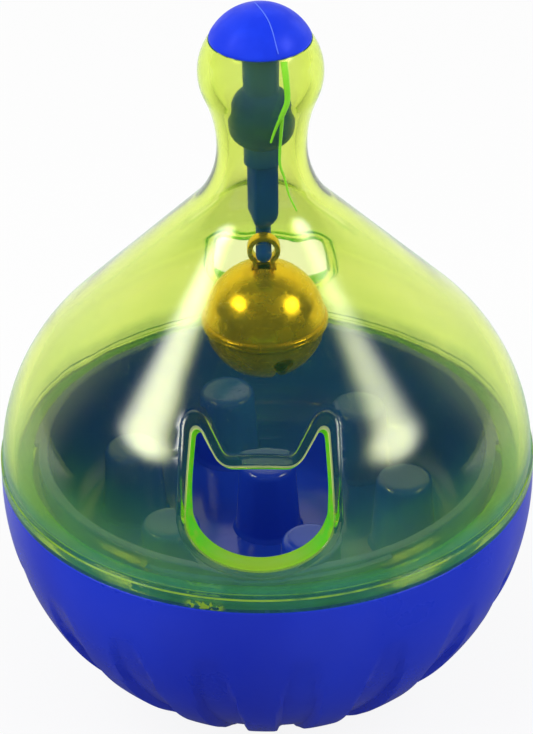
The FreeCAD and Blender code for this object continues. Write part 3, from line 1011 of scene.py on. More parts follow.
    def make(self) -> None:
        """Builds and dresses the base."""
        blue = MouldedPlastic("blue base plastic", (0.006, 0.024, 0.50), (0.011, 0.036, 0.60),
                              roughness=0.3, peel_depth=0.01, specular=0.38)
        iron = BareMetal("cast iron", (0.12, 0.115, 0.11), (0.16, 0.09, 0.05),
                         roughness=0.6, lump_size=1.1, lump_depth=0.12)
        material = blue.make()
        shell = MeshStock().turned(self.outline(), self.columns()).build("base_shell_fluted", 30.0)
        self.fluted(shell, material)
        tidy_mesh(shell.data, 30.0)
        dress(shell, material, Body.BASE, Slot.BASE_PLASTIC, "base_shell")
        dress_node("ballast_slug", iron.make())


# ------------------------------------------------------------------ food tray


@dataclass
class FoodTray:
    """Inner tray: floor, collar with thread ridges, flange and seven rounded posts."""

    seam: float
    slug_top: float
    collar: float = 34.3
    wall: float = 1.5
    rise: float = 3.3
    floor_drop: float = 12.8
    floor_thickness: float = 2.0
    corner: float = 7.0
    flange_radius: float = 38.0
    flange_drop: float = 2.2
    flange_gap: float = 0.2
    clamp_radius: float = 7.0
    clamp_wall: float = 1.8
    post_count: int = 6
    post_circle: float = 21.0
    post_turn: float = -17.0
    post_top: float = 4.2
    post_foot: float = 5.0
    post_height: float = 11.8
    post_round: float = 1.2
    post_flare: float = 0.7
    thread: Thread = Thread()
    thread_rise: float = 1.55
    thread_bite: float = 0.5

    @property
    def floor(self) -> float:
        """Height of the tray's floor."""
        return self.seam - self.floor_drop

    def outline(self) -> np.ndarray:
        """Closed outline of the tray without its posts."""
        top, under = self.seam + self.rise, self.floor - self.floor_thickness
        bore, r = self.collar - self.wall, self.corner
        outer = r + self.wall
        flange_top, flange_low = self.seam - self.flange_gap, self.seam - self.flange_drop
        clamp_in = self.clamp_radius - self.clamp_wall
        shape = Profile(0, self.floor).line(bore - r, self.floor)
        shape.arc((bore - r, self.floor + r), r, -90, 0, step=0.4).line(bore, top, 0.35)
        shape.line(self.collar, top, 0.35).line(self.collar, flange_top, 0.15)
        shape.line(self.flange_radius, flange_top, 0.2).line(self.flange_radius, flange_low, 0.2)
        shape.line(self.collar, flange_low).line(self.collar, under + outer)
        shape.arc((self.collar - outer, under + outer), outer, 0, -90)
        shape.line(self.clamp_radius, under, 0.3).line(self.clamp_radius, self.slug_top, 0.2)
        shape.line(clamp_in, self.slug_top, 0.2).line(clamp_in, under).line(0, under)
        return shape.traced()

    def post(self) -> bpy.types.Object:
        """One post with a rounded head and a flared foot, at the origin."""
        taper = (self.post_foot - self.post_top) / self.post_height
        foot, root = self.post_foot + self.post_flare * 0.6, -1.0
        shape = Profile(0, self.post_height).line(self.post_top, self.post_height, self.post_round, 0.4)
        shape.line(self.post_foot - taper * self.post_flare, self.post_flare, 0.25)
        shape.line(foot, 0, 0.2).line(foot, root).line(0, root)
        return MeshStock().turned(shape.traced(), even_turns(72)).build("post", 40.0)

    def posts(self, material: bpy.types.Material) -> bpy.types.Object:
        """Sets the posts round the floor by rule.

        Args:
            material: The tray's material.

        Returns:
            All posts as one mesh.
        """
        one = self.post()
        t = RuleTree("post_rule")
        count = t.size("Posts", self.post_count)
        circle = t.size("Circle Radius", self.post_circle * MM)
        floor = t.size("Floor Height", self.floor * MM)
        turn = t.size("Turn", math.radians(90.0 - self.post_turn))
        finish = t.material(material)
        ring = t.node("GeometryNodeMeshCircle", {"Vertices": count, "Radius": circle}, fill_type="NONE")
        middle = t.node("GeometryNodeMeshLine", {"Count": 1})
        spun = t.moved(ring.outputs[0], Rotation=t.upright(turn))
        both = t.node("GeometryNodeJoinGeometry")
        t.tree.links.new(spun, both.inputs[0])
        t.tree.links.new(middle.outputs[0], both.inputs[0])
        set_out = t.node("GeometryNodeInstanceOnPoints", {
            "Points": both.outputs[0], "Instance": t.inlet.outputs[0]})
        return t.run(one, t.moved(set_out.outputs[0], Translation=t.upright(floor)), finish)

    def ridges(self, material: bpy.types.Material) -> bpy.types.Object:
        """Winds the thread ridges round the collar by rule.

        Args:
            material: The tray's material.

        Returns:
            The ridges as one mesh.
        """
        carrier = MeshStock()
        carrier.add(np.eye(3), [(0, 1, 2)])
        obj = carrier.build("ridges")
        t = RuleTree("ridge_rule")
        starts = t.size("Starts", self.thread.starts)
        radius = t.size("Collar Radius", self.collar * MM)
        turns = t.size("Turns", self.thread.sweep / 360.0)
        climb = t.size("Climb", self.thread.climb * MM)
        depth = t.size("Depth", (self.thread.depth + self.thread_bite) * MM)
        root = t.size("Root Height", self.thread.root * MM)
        tip = t.size("Tip Height", self.thread.tip * MM)
        height = t.size("Start Height", (self.seam + self.thread_rise) * MM)
        finish = t.material(material)
        path = t.node("GeometryNodeCurveSpiral", {
            "Resolution": 220, "Rotations": turns, "Start Radius": radius, "End Radius": radius,
            "Height": t.sum("MULTIPLY", climb, -1.0)})
        upright = t.node("GeometryNodeSetCurveNormal", {"Curve": path.outputs[0]}, mode="Z_UP")
        section = t.node("GeometryNodeCurvePrimitiveQuadrilateral", {
            "Bottom Width": root, "Top Width": tip, "Height": depth, "Offset": 0.0}, mode="TRAPEZOID")
        laid = t.moved(section.outputs[0], Rotation=(0.0, 0.0, math.radians(90.0)))
        shift = -(self.thread.depth - self.thread_bite) / 2 * MM
        shifted = t.moved(laid, Translation=(shift, 0.0, 0.0))
        swept = t.node("GeometryNodeCurveToMesh", {
            "Curve": upright.outputs[0], "Profile Curve": shifted, "Fill Caps": True})
        spots = t.node("GeometryNodePoints", {"Count": starts})
        index = t.node("GeometryNodeInputIndex").outputs[0]
        step = t.sum("MULTIPLY", index, t.sum("DIVIDE", 2 * math.pi, starts))
        step = t.sum("ADD", step, t.sum("MULTIPLY", turns, 2 * math.pi))
        wound = t.node("GeometryNodeInstanceOnPoints", {
            "Points": spots.outputs[0], "Instance": swept.outputs[0], "Rotation": t.upright(step)})
        lift = t.upright(t.sum("ADD", height, climb))
        return t.run(obj, t.moved(wound.outputs[0], Translation=lift), finish)

    def make(self) -> None:
        """Builds and dresses the tray."""
        blue = MouldedPlastic("blue tray plastic", (0.008, 0.032, 0.60), (0.011, 0.044, 0.68),
                              roughness=0.13, peel_depth=0.005)
        material = blue.make()
        tray = MeshStock().turned(self.outline(), even_turns(240)).build("food_tray_moulded", 30.0)
        combine(tray, self.posts(material), Join.UNION)
        combine(tray, self.ridges(material), Join.UNION)
        dress(tray, material, Body.BASE, Slot.TRAY_PLASTIC, "food_tray")


# ----------------------------------------------------------------- clear dome


@dataclass
class DomeOutline:
    """Drawn outline of the dome: side arc, cone, shoulder, waist and bulb."""

    seam: float
    radius: float = 40.0
    skirt_step: float = 0.25
    side_arc: float = 30.0
    side_arc_rise: float = 1.1
    shoulder: float = 15.3
    neck: float = 6.5
    neck_rise: float = 53.9
    bulb: float = 9.0
    bulb_over_neck: float = 11.6
    rim_over_bulb: float = 5.1

    def __post_init__(self) -> None:
        """Works out the centres and the meeting heights of the arcs."""
        self.neck_z = self.seam + self.neck_rise
        self.bulb_z = self.neck_z + self.bulb_over_neck
        self.top_z = self.bulb_z + self.rim_over_bulb
        self.c1 = (self.radius - self.skirt_step - self.side_arc, self.seam + self.side_arc_rise)
        self.c2 = (self.neck + self.shoulder, self.neck_z)
        dz = self.bulb_over_neck
        self.waist = (dz ** 2 - (self.bulb ** 2 - self.neck ** 2)) / (2 * (self.bulb - self.neck))
        self.c3 = (self.neck + self.waist, self.neck_z)
        d = (self.c2[0] - self.c1[0], self.c2[1] - self.c1[1])
        self.slope = math.atan2(d[1], d[0]) - math.acos((self.side_arc + self.shoulder) / math.hypot(*d))
        self.up = math.atan2(self.neck_z - self.bulb_z, self.c3[0])

    def lean(self, z: float, inset: float = 0.0) -> float:
        """Angle in radians of the wall's normal above the horizontal, at a height below the shoulder."""
        return min(self.slope, math.asin(min(1.0, (z - self.c1[1]) / (self.side_arc - inset))))

    def at(self, z: float, inset: float = 0.0) -> float:
        """Radius of the outline.

        Args:
            z: Height.
            inset: How far inside the outer skin.

        Returns:
            The radius at that height.
        """
        r1, r2 = self.side_arc - inset, self.shoulder + inset
        r3, r4 = self.waist + inset, self.bulb - inset
        z1 = self.c1[1] + r1 * math.sin(self.slope)
        z2 = self.c2[1] - r2 * math.sin(self.slope)
        z4 = self.bulb_z + r4 * math.sin(self.up)
        if z <= z1:
            return self.c1[0] + math.sqrt(r1 ** 2 - (z - self.c1[1]) ** 2)
        if z <= z2:
            x1 = self.c1[0] + r1 * math.cos(self.slope)
            x2 = self.c2[0] - r2 * math.cos(self.slope)
            return x1 + (x2 - x1) * (z - z1) / (z2 - z1)
        if z <= self.neck_z:
            return self.c2[0] - math.sqrt(r2 ** 2 - (z - self.c2[1]) ** 2)
        if z <= z4:
            return self.c3[0] - math.sqrt(r3 ** 2 - (z - self.c3[1]) ** 2)
        return math.sqrt(r4 ** 2 - (z - self.bulb_z) ** 2)


@dataclass
class CatOutline:
    """Drawn outline of a cat-face opening, seen square on."""

    seam: float
    ear_half: float = 9.4
    ear_rise: float = 25.1
    brow_half: float = 5.4
    brow_rise: float = 20.2
    brow_arch: float = 0.3
    cheek_half: float = 10.45
    cheek_rise: float = 13.3
    cheek_bulge: float = 0.15
    chin_rise: float = 7.15
    ear_round: float = 0.8
    brow_round: float = 3.0

    def loop(self, grow: float) -> np.ndarray:
        """The outline moved outwards.

        Args:
            grow: Distance in millimetres.

        Returns:
            Points in the front plane, counter-clockwise from the right cheek.
        """
        slope = math.atan2(self.ear_rise - self.brow_rise, self.ear_half - self.brow_half)
        lean = math.atan2(self.cheek_half - self.ear_half, self.ear_rise - self.cheek_rise)
        wide = math.cos(slope + lean)
        ear = np.array([self.ear_half + grow * (math.cos(slope) - math.sin(lean)) / wide,
                        self.seam + self.ear_rise + grow * (math.sin(slope) + math.cos(lean)) / wide])
        brow = np.array([self.brow_half - grow * math.tan(slope / 2), self.seam + self.brow_rise + grow])
        cheek = np.array([self.cheek_half + grow, self.seam + self.cheek_rise])
        chin_z = self.seam + self.chin_rise - grow
        side = (ear + cheek) / 2 + np.array([self.cheek_bulge, 0.0])
        rise = self._curve(cheek, 2 * side - (cheek + ear) / 2, ear, 14)
        brow_mid = np.array([0.0, brow[1] + 2 * self.brow_arch])
        half = self._fillet(rise, self._straight(ear, brow, 8), self.ear_round + grow, 9)
        arch = self._curve(brow, (brow + brow_mid) / 2, [0, brow[1] + self.brow_arch], 12)
        half = self._fillet(half, arch, self.brow_round - grow, 9)
        left = half[::-1] * [-1, 1]
        jaw = np.radians(np.linspace(180, 360, 45))[1:-1]
        chin = np.stack([cheek[0] * np.cos(jaw), cheek[1] + (cheek[1] - chin_z) * np.sin(jaw)], -1)
        return np.concatenate([half, left[1:], chin])

    @staticmethod
    def _straight(a: np.ndarray, b: np.ndarray, count: int) -> np.ndarray:
        """Points from one end to the other."""
        t = np.linspace(0, 1, count + 1)[:, None]
        return a + (b - a) * t

    @staticmethod
    def _curve(a: np.ndarray, control: np.ndarray, b: np.ndarray, count: int) -> np.ndarray:
        """Points on a plain curve with one control point."""
        t = np.linspace(0, 1, count + 1)[:, None]
        return (1 - t) ** 2 * np.asarray(a) + 2 * t * (1 - t) * np.asarray(control) + t * t * np.asarray(b)

    @staticmethod
    def _fillet(first: np.ndarray, second: np.ndarray, radius: float, count: int) -> np.ndarray:
        """Joins two runs that meet in a corner by a rounding.

        Args:
            first: Points up to the corner.
            second: Points from the corner on.
            radius: Radius of the rounding.
            count: Number of points on it.

        Returns:
            Both runs with the corner rounded.
        """
        u = first[-2] - first[-1]
        v = second[1] - second[0]
        u, v = u / np.linalg.norm(u), v / np.linalg.norm(v)
        half = math.acos(float(np.clip(u @ v, -1, 1))) / 2
        cut = radius / math.tan(half)
        corner = first[-1]
        middle = corner + (u + v) / np.linalg.norm(u + v) * radius / math.sin(half)
        a = corner + u * cut - middle
        b = corner + v * cut - middle
        swing = math.atan2(a[0] * b[1] - a[1] * b[0], float(a @ b))
        turns = np.linspace(0, swing, count)
        c, s = np.cos(turns), np.sin(turns)
        bend = middle + np.stack([a[0] * c - a[1] * s, a[0] * s + a[1] * c], -1)
        before = first[np.linalg.norm(first - corner, axis=1) > cut + 0.05]
        after = second[np.linalg.norm(second - corner, axis=1) > cut + 0.05]
        return np.concatenate([before, bend, after])


@dataclass
class ClearDome:
    """See-through dome with its threaded skirt and two lipped cat-face openings."""

    seam: float
    wall: float = 1.8
    skirt_height: float = 2.3
    bore: float = 35.4
    shelf_rise: float = 1.5
    lip_width: float = 1.3
    lip_proud: float = 0.6
    lip_inside: float = 1.2
    lip_round: float = 0.22
    lip_fade_low: float = 11.0
    lip_fade_high: float = 19.0
    turn: float = -1.9
    column_step: float = 1.5
    patch_half: float = 27.0
    patch_low: float = 4.4
    patch_high: float = 28.2
    row_step: float = 0.9
    join_rise: float = 0.5
    cut_steps: int = 6
    flat_radius: float = 32.0
    grid_gap: float = 0.45
    rounded_loops: int = 3
    thread: Thread = Thread()
    thread_rise: float = 0.55
    thread_runout: float = 1.5
    drawn: DomeOutline = field(init=False)
    cat: CatOutline = field(init=False)

    def __post_init__(self) -> None:
        """Draws the outlines from the seam height."""
        self.drawn = DomeOutline(self.seam)
        self.cat = CatOutline(self.seam)

    @property
    def patch_span(self) -> Point:
        """Lowest and highest height of the patch round an opening."""
        return self.seam + self.patch_low, self.seam + self.patch_high

    def lengths(self, heights: np.ndarray, inset: float) -> np.ndarray:
        """Distances along one skin of the wall.

        Args:
            heights: Heights, from low to high.
            inset: How far inside the outer skin.

        Returns:
            The distance of each from the first.
        """
        radii = np.array([self.drawn.at(z, inset) for z in heights])
        return np.concatenate([[0], np.cumsum(np.hypot(np.diff(heights), np.diff(radii)))])

    def heights(self) -> np.ndarray:
        """Heights of the rows, from the skirt to the rim, evenly spaced along the outline."""
        low = self.seam + self.skirt_height + self.join_rise
        fine = np.linspace(low, self.drawn.top_z, 4000)
        along = self.lengths(fine, 0.0)
        count = math.ceil(along[-1] / self.row_step)
        rows = np.interp(np.linspace(0, along[-1], count + 1), along, fine)
        for mark in self.patch_span:
            rows[np.argmin(np.abs(rows - mark))] = mark
        return rows

    def columns(self) -> np.ndarray:
        """Angles of the columns."""
        return even_turns(round(360.0 / self.column_step))

    def skin(self, stock: MeshStock, inset: float, rows: np.ndarray) -> None:
        """Adds one skin of the wall without the places of the openings.

        Args:
            stock: Where it goes.
            inset: 0 for the outer skin, the wall for the inner one.
            rows: Heights of the rows.
        """
        cols = self.columns()
        radius = np.array([self.drawn.at(z, inset) for z in rows])
        low, high = self.patch_span
        mid = np.degrees((cols + math.radians(self.column_step) / 2 + math.pi) % (2 * math.pi) - math.pi)
        open_col = (np.abs(mid) < self.patch_half) | (np.abs(mid) > 180 - self.patch_half)
        faces = []
        for i in range(len(rows) - 1):
            open_row = low - 1e-6 <= rows[i] and rows[i + 1] <= high + 1e-6
            band = zip(quad_band(i, len(cols)), open_col)
            faces += [face for face, open_here in band if not (open_row and open_here)]
        stock.add(revolved(radius, rows, cols), faces)

    def lips(self, inside: bool) -> list[Point]:
        """Growth of each outline loop and its height above the skin.

        Args:
            inside: Whether it is the inner skin.

        Returns:
            Pairs, from the cut edge outwards.
        """
        h, w, e = self.lip_inside if inside else self.lip_proud, self.lip_width, self.lip_round
        return [(0.0, h - e), (0.07, h - 0.3 * e), (e, h), (0.38 * w, h), (0.6 * w, h), (w - e, h),
                (w - 0.07, h - 0.3 * e), (w, h - e), (w + 0.03, min(0.16, h / 3)), (w + 0.12, 0.05),
                (w + 0.3, 0.0)]

    def fade(self, z: np.ndarray) -> np.ndarray:
        """Share of the inner lip that is left at a height: full round the chin, none at the brow."""
        t = np.clip((z - self.seam - self.lip_fade_low) / (self.lip_fade_high - self.lip_fade_low), 0, 1)
        return 1 - smooth(t)

    def lip_ring(self, inside: bool, grow: float, rise: float) -> tuple[np.ndarray, np.ndarray, np.ndarray]:
        """One loop of points round an opening, square to the wall at the brow and level at the chin.

        Args:
            inside: Whether it is on the inner skin.
            grow: How far it lies outside the drawn outline.
            rise: How far it stands above the skin.

        Returns:
            The points, and the angle and height of each on the plain skin.
        """
        x, z = self.cat.loop(grow).T
        skin = self.lip_proud + (self.wall if inside else 0.0)
        top_r = np.array([self.drawn.at(v, -self.lip_proud) for v in z])
        square = np.array([self.drawn.lean(v, -self.lip_proud) for v in z])
        lean = square * (1.0 - self.fade(z))
        turn = np.arcsin(x / top_r)
        longer = 1.0 / np.cos(square - lean)
        deep = (skin + (rise * self.fade(z) if inside else -rise)) * longer
        r = top_r - deep * np.cos(lean)
        points = np.stack([r * np.sin(turn), -r * np.cos(turn), z - deep * np.sin(lean)], -1)
        return points, turn, z - skin * longer * np.sin(lean)

    def patch(self, inside: bool, rows: np.ndarray) -> tuple[np.ndarray, list, list, np.ndarray]:
        """Meshes the surroundings of one opening on one skin.

        Args:
            inside: Whether it is the inner skin.
            rows: Heights of the dome's rows.

        Returns:
            Points, faces, marks of the faces, and the points of the cut edge in order.
        """
        base = self.wall if inside else 0.0
        low, high = self.patch_span
        fine = np.linspace(low - 1, high + 1, 600)
        along = self.lengths(fine, base)
        rows = rows[(rows > low - 1e-6) & (rows < high + 1e-6)]
        half = int(round(self.patch_half / self.column_step))
        cols = np.radians(np.arange(-half, half + 1) * self.column_step)

        def flat(turn: np.ndarray, z: np.ndarray) -> np.ndarray:
            """Flattened place of points on the skin."""
            return np.stack([turn * self.flat_radius, np.interp(z, fine, along)], -1)

        places: list[np.ndarray] = []
        solid: list[np.ndarray] = []
        edges: list[tuple[int, int]] = []
        for grow, rise in self.lips(inside):
            points, turn, z = self.lip_ring(inside, grow, rise)
            edges += loop_edges(sum(len(p) for p in places), len(points))
            places.append(flat(turn, z))
            solid.append(points)
        outer = places[-1]
        grid_r = np.array([self.drawn.at(z, base) for z in rows])
        last_i, last_k = len(rows) - 1, len(cols) - 1
        border = [(0, k) for k in range(last_k)] + [(i, last_k) for i in range(last_i)]
        border += [(last_i, k) for k in range(last_k, 0, -1)] + [(i, 0) for i in range(last_i, 0, -1)]
        inner = []
        for i in range(1, last_i):
            for k in range(1, last_k):
                p = flat(cols[k], rows[i])
                clear = np.min(np.linalg.norm(outer - p, axis=1)) > self.grid_gap
                if clear and not inside_loop(p, outer):
                    inner.append((i, k))
        start = sum(len(p) for p in places)
        for group in (border, inner):
            i, k = np.array(group).T
            places.append(flat(cols[k], rows[i]))
            solid.append(np.stack([grid_r[i] * np.sin(cols[k]), -grid_r[i] * np.cos(cols[k]), rows[i]], -1))
        edges += loop_edges(start, len(border))
        spots = np.concatenate(places)
        hole, points = places[0], np.concatenate(solid)
        faces = fill_between(spots, edges, hole, spots[start:start + len(border)])
        rounded = self.rounded_loops * len(hole)
        return points, faces, [0.5 if max(face) < rounded else 0.0 for face in faces], points[:len(hole)]

    def skirt(self) -> np.ndarray:
        """Outline of the skirt from the inner wall down, round the foot and up to the outer wall."""
        top, shelf = self.seam + self.skirt_height, self.seam + self.shelf_rise
        join = top + self.join_rise
        base = self.drawn.radius
        shape = Profile(self.drawn.at(join, self.wall), join)
        shape.line(self.drawn.at(shelf + 0.3, self.wall), shelf + 0.3, 0.35, 0.3)
        shape.line(self.bore, shelf, 0.12, 0.4).line(self.bore, self.seam, 0.1, 0.07)
        shape.line(base, self.seam, 0.2, 0.8).line(base, top - self.drawn.skirt_step, 0.12, 0.3)
        shape.line(self.drawn.at(top), top, 0.12, 0.2).line(self.drawn.at(join), join)
        return shape.traced()

    def threaded(self, verts: np.ndarray) -> np.ndarray:
        """Raises the thread ridges from the bore of the skirt.

        Args:
            verts: Points of the skirt.

        Returns:
            The points, those on the ridges moved inwards.
        """
        r = np.hypot(verts[:, 0], verts[:, 1])
        thread = self.thread
        turn = np.degrees(np.arctan2(verts[:, 1], verts[:, 0])) % (360.0 / thread.starts)
        rise = self.seam + self.thread_rise + thread.lead * turn / 360.0
        off = np.abs(verts[:, 2] - rise)
        across = np.clip((thread.root / 2 - off) / ((thread.root - thread.tip) / 2), 0, 1)
        ends = np.clip(np.minimum(turn, thread.sweep - turn) / self.thread_runout, 0, 1)
        on = (np.abs(r - self.bore) < 0.02) & (verts[:, 2] > self.seam + 0.08)
        scale = np.where(on, 1 - thread.depth * across * ends / r, 1.0)
        out = verts.copy()
        out[:, :2] *= scale[:, None]
        return out

    def mesh(self) -> bpy.types.Object:
        """The whole dome as one closed mesh."""
        stock = MeshStock()
        rows, cols, top = self.heights(), self.columns(), self.drawn.top_z
        self.skin(stock, 0.0, rows)
        self.skin(stock, self.wall, rows)
        rim_in, rim_out = self.drawn.at(top, self.wall), self.drawn.at(top)
        rim = Profile(rim_in, top).line(rim_out, top, 0.0, 0.5).traced()
        stock.turned(rim, cols)
        skirt = MeshStock().turned(self.skirt(), cols)
        stock.add(self.threaded(skirt.verts[0]), skirt.faces)
        flip = np.array([-1.0, -1.0, 1.0])
        edges = []
        for inside in (False, True):
            points, faces, marks, edge = self.patch(inside, rows)
            edges.append(edge)
            for back in (False, True):
                stock.add(points * flip if back else points, faces, marks)
        steps = np.linspace(0, 1, self.cut_steps + 1)[:, None, None]
        cut = (edges[0] + (edges[1] - edges[0]) * steps).reshape(-1, 3)
        faces = [face for row in range(self.cut_steps) for face in quad_band(row, len(edges[0]))]
        for back in (False, True):
            stock.add(cut * flip if back else cut, faces, [1.0] * len(faces))
        dome = stock.build("dome_clear", 38.0, 2e-3)
        dome.data.transform(Matrix.Rotation(math.radians(self.turn), 4, "Z"))
        return dome

    def make(self, finish: ClearTint) -> None:
        """Builds the dome and dresses it in its clear plastic."""
        dress(self.mesh(), finish.make(), Body.DOME, Slot.CLEAR_PLASTIC, "dome")


def loop_edges(start: int, count: int) -> list[tuple[int, int]]:
    """Edges of a closed loop of numbered points."""
    return [(start + k, start + (k + 1) % count) for k in range(count)]


def inside_loop(p: np.ndarray, loop: np.ndarray) -> bool:
    """Whether a point lies inside a closed loop of points."""
    a, b = loop, np.roll(loop, -1, axis=0)
    spans = (a[:, 1] > p[1]) != (b[:, 1] > p[1])
    with np.errstate(divide="ignore", invalid="ignore"):
        cross = (b[:, 0] - a[:, 0]) * (p[1] - a[:, 1]) / (b[:, 1] - a[:, 1]) + a[:, 0]
    return bool(np.count_nonzero(spans & (p[0] < cross)) % 2)


def fill_between(spots: np.ndarray, edges: list[tuple[int, int]], hole: np.ndarray,
                 rim: np.ndarray) -> list[tuple[int, ...]]:
    """Triangulates flat points between a hole and a rim.

    Args:
        spots: The points.
        edges: Pairs of points that stay joined.
        hole: Loop round the hole.
        rim: Loop round the patch.

    Returns:
        The faces.
    """
    result = delaunay_2d_cdt([Vector(p) for p in spots], edges, [], 0, 1e-7)
    source = [o[0] if o else -1 for o in result[3]]
    faces = []
    for face in result[2]:
        ids = [source[i] for i in face]
        if min(ids) < 0 or len(set(ids)) < 3:
            continue
        middle = spots[ids].mean(0)
        if inside_loop(middle, rim) and not inside_loop(middle, hole):
            faces.append(tuple(ids))
    return faces


# ---------------------------------------------------------------- mould marks


@dataclass
class MouldMarks:
    """Raised traces of the mould: flash down the dome's bulb and neck, and the cap's parting line."""

    drawn: DomeOutline
    flash_radius: float = 0.5
    vein_radius: float = 0.16
    parting_radius: float = 0.08

    def on_dome(self, turns: tuple[float, ...], rises: tuple[float, ...]) -> np.ndarray:
        """Points on the dome's skin.

        Args:
            turns: Angles from the front in degrees.
            rises: Heights above the seam in millimetres.

        Returns:
            The points in millimetres.
        """
        a = np.radians(turns)
        z = np.array(rises) + self.drawn.seam
        r = np.array([self.drawn.at(v) for v in z])
        return np.stack([r * np.sin(a), -r * np.cos(a), z], -1)

    def bead(self, name: str, path: np.ndarray, start: float, end: float,
             material: bpy.types.Material) -> bpy.types.Object:
        """Lays a tapering bead along a path by rule.

        Args:
            name: Name of the bead.
            path: Its points in millimetres.
            start: Its radius at the first point in millimetres.
            end: Its radius at the last point.
            material: Its material.

        Returns:
            The bead.
        """
        mesh = bpy.data.meshes.new(name)
        mesh.from_pydata((path * MM).tolist(), [(k, k + 1) for k in range(len(path) - 1)], [])
        obj = placed(name, mesh)
        t = RuleTree(name + "_rule")
        first = t.size("Start Radius", start * MM)
        last = t.size("End Radius", end * MM)
        steps = t.size("Steps", 64)
        sides = t.size("Sides", 14)
        finish = t.material(material)
        line = t.node("GeometryNodeMeshToCurve", {"Mesh": t.inlet.outputs[0]})
        soft = t.node("GeometryNodeCurveSplineType", {"Curve": line.outputs[0]}, spline_type="CATMULL_ROM")
        even = t.node("GeometryNodeResampleCurve", {"Curve": soft.outputs[0], "Count": steps})
        along = t.node("GeometryNodeSplineParameter").outputs["Factor"]
        reach = t.sum("ADD", first, t.sum("MULTIPLY", along, t.sum("SUBTRACT", last, first)))
        ring = t.node("GeometryNodeCurvePrimitiveCircle", {"Resolution": sides, "Radius": 1.0})
        swept = t.node("GeometryNodeCurveToMesh", {
            "Curve": even.outputs[0], "Profile Curve": ring.outputs[0], "Scale": reach, "Fill Caps": True})
        t.run(obj, swept.outputs[0], finish)
        tidy_mesh(obj.data, 50.0)
        return obj

    def make(self) -> None:
        """Builds and dresses the marks."""
        lime = MouldedPlastic("lime flash", (0.16, 0.66, 0.02), (0.32, 0.78, 0.04), 0.25).make()
        pale = MouldedPlastic("parting line", (0.04, 0.12, 0.80), (0.10, 0.20, 0.86), 0.45).make()
        flash = self.on_dome((25.2, 24.0, 23.9, 21.3, 18.8), (70.4, 68.1, 65.1, 63.5, 62.2))
        vein = self.on_dome((20.0, 22.4, 22.4, 22.8, 28.2, 30.4, 34.7),
                            (63.0, 57.9, 56.1, 53.5, 51.1, 48.8, 46.5))
        branch = self.on_dome((18.9, 15.0, 10.5), (62.3, 60.0, 57.6))
        cap = np.array([(-0.77, 2.11, 115.98), (-0.22, 0.24, 116.29), (0.46, -1.38, 116.17),
                        (1.14, -2.89, 115.68), (1.67, -4.32, 114.85), (2.18, -5.89, 113.32),
                        (2.5, -6.66, 112.3)])
        thick, thin = self.flash_radius, self.vein_radius
        for name, path, start, end in (("dome_flash", flash, thick, thick * 0.8),
                                       ("dome_flash_vein", vein, thick * 0.6, thin * 0.7),
                                       ("dome_flash_branch", branch, thick * 0.6, thin)):
            dress(self.bead(name, path, start, end, lime), lime, Body.DOME, Slot.CLEAR_PLASTIC)
        parting = self.bead("cap_parting_line", cap, self.parting_radius, self.parting_radius, pale)
        dress(parting, pale, Body.PLUG, Slot.SOFT_PLUG)


# ------------------------------------------------------------------ knob plug


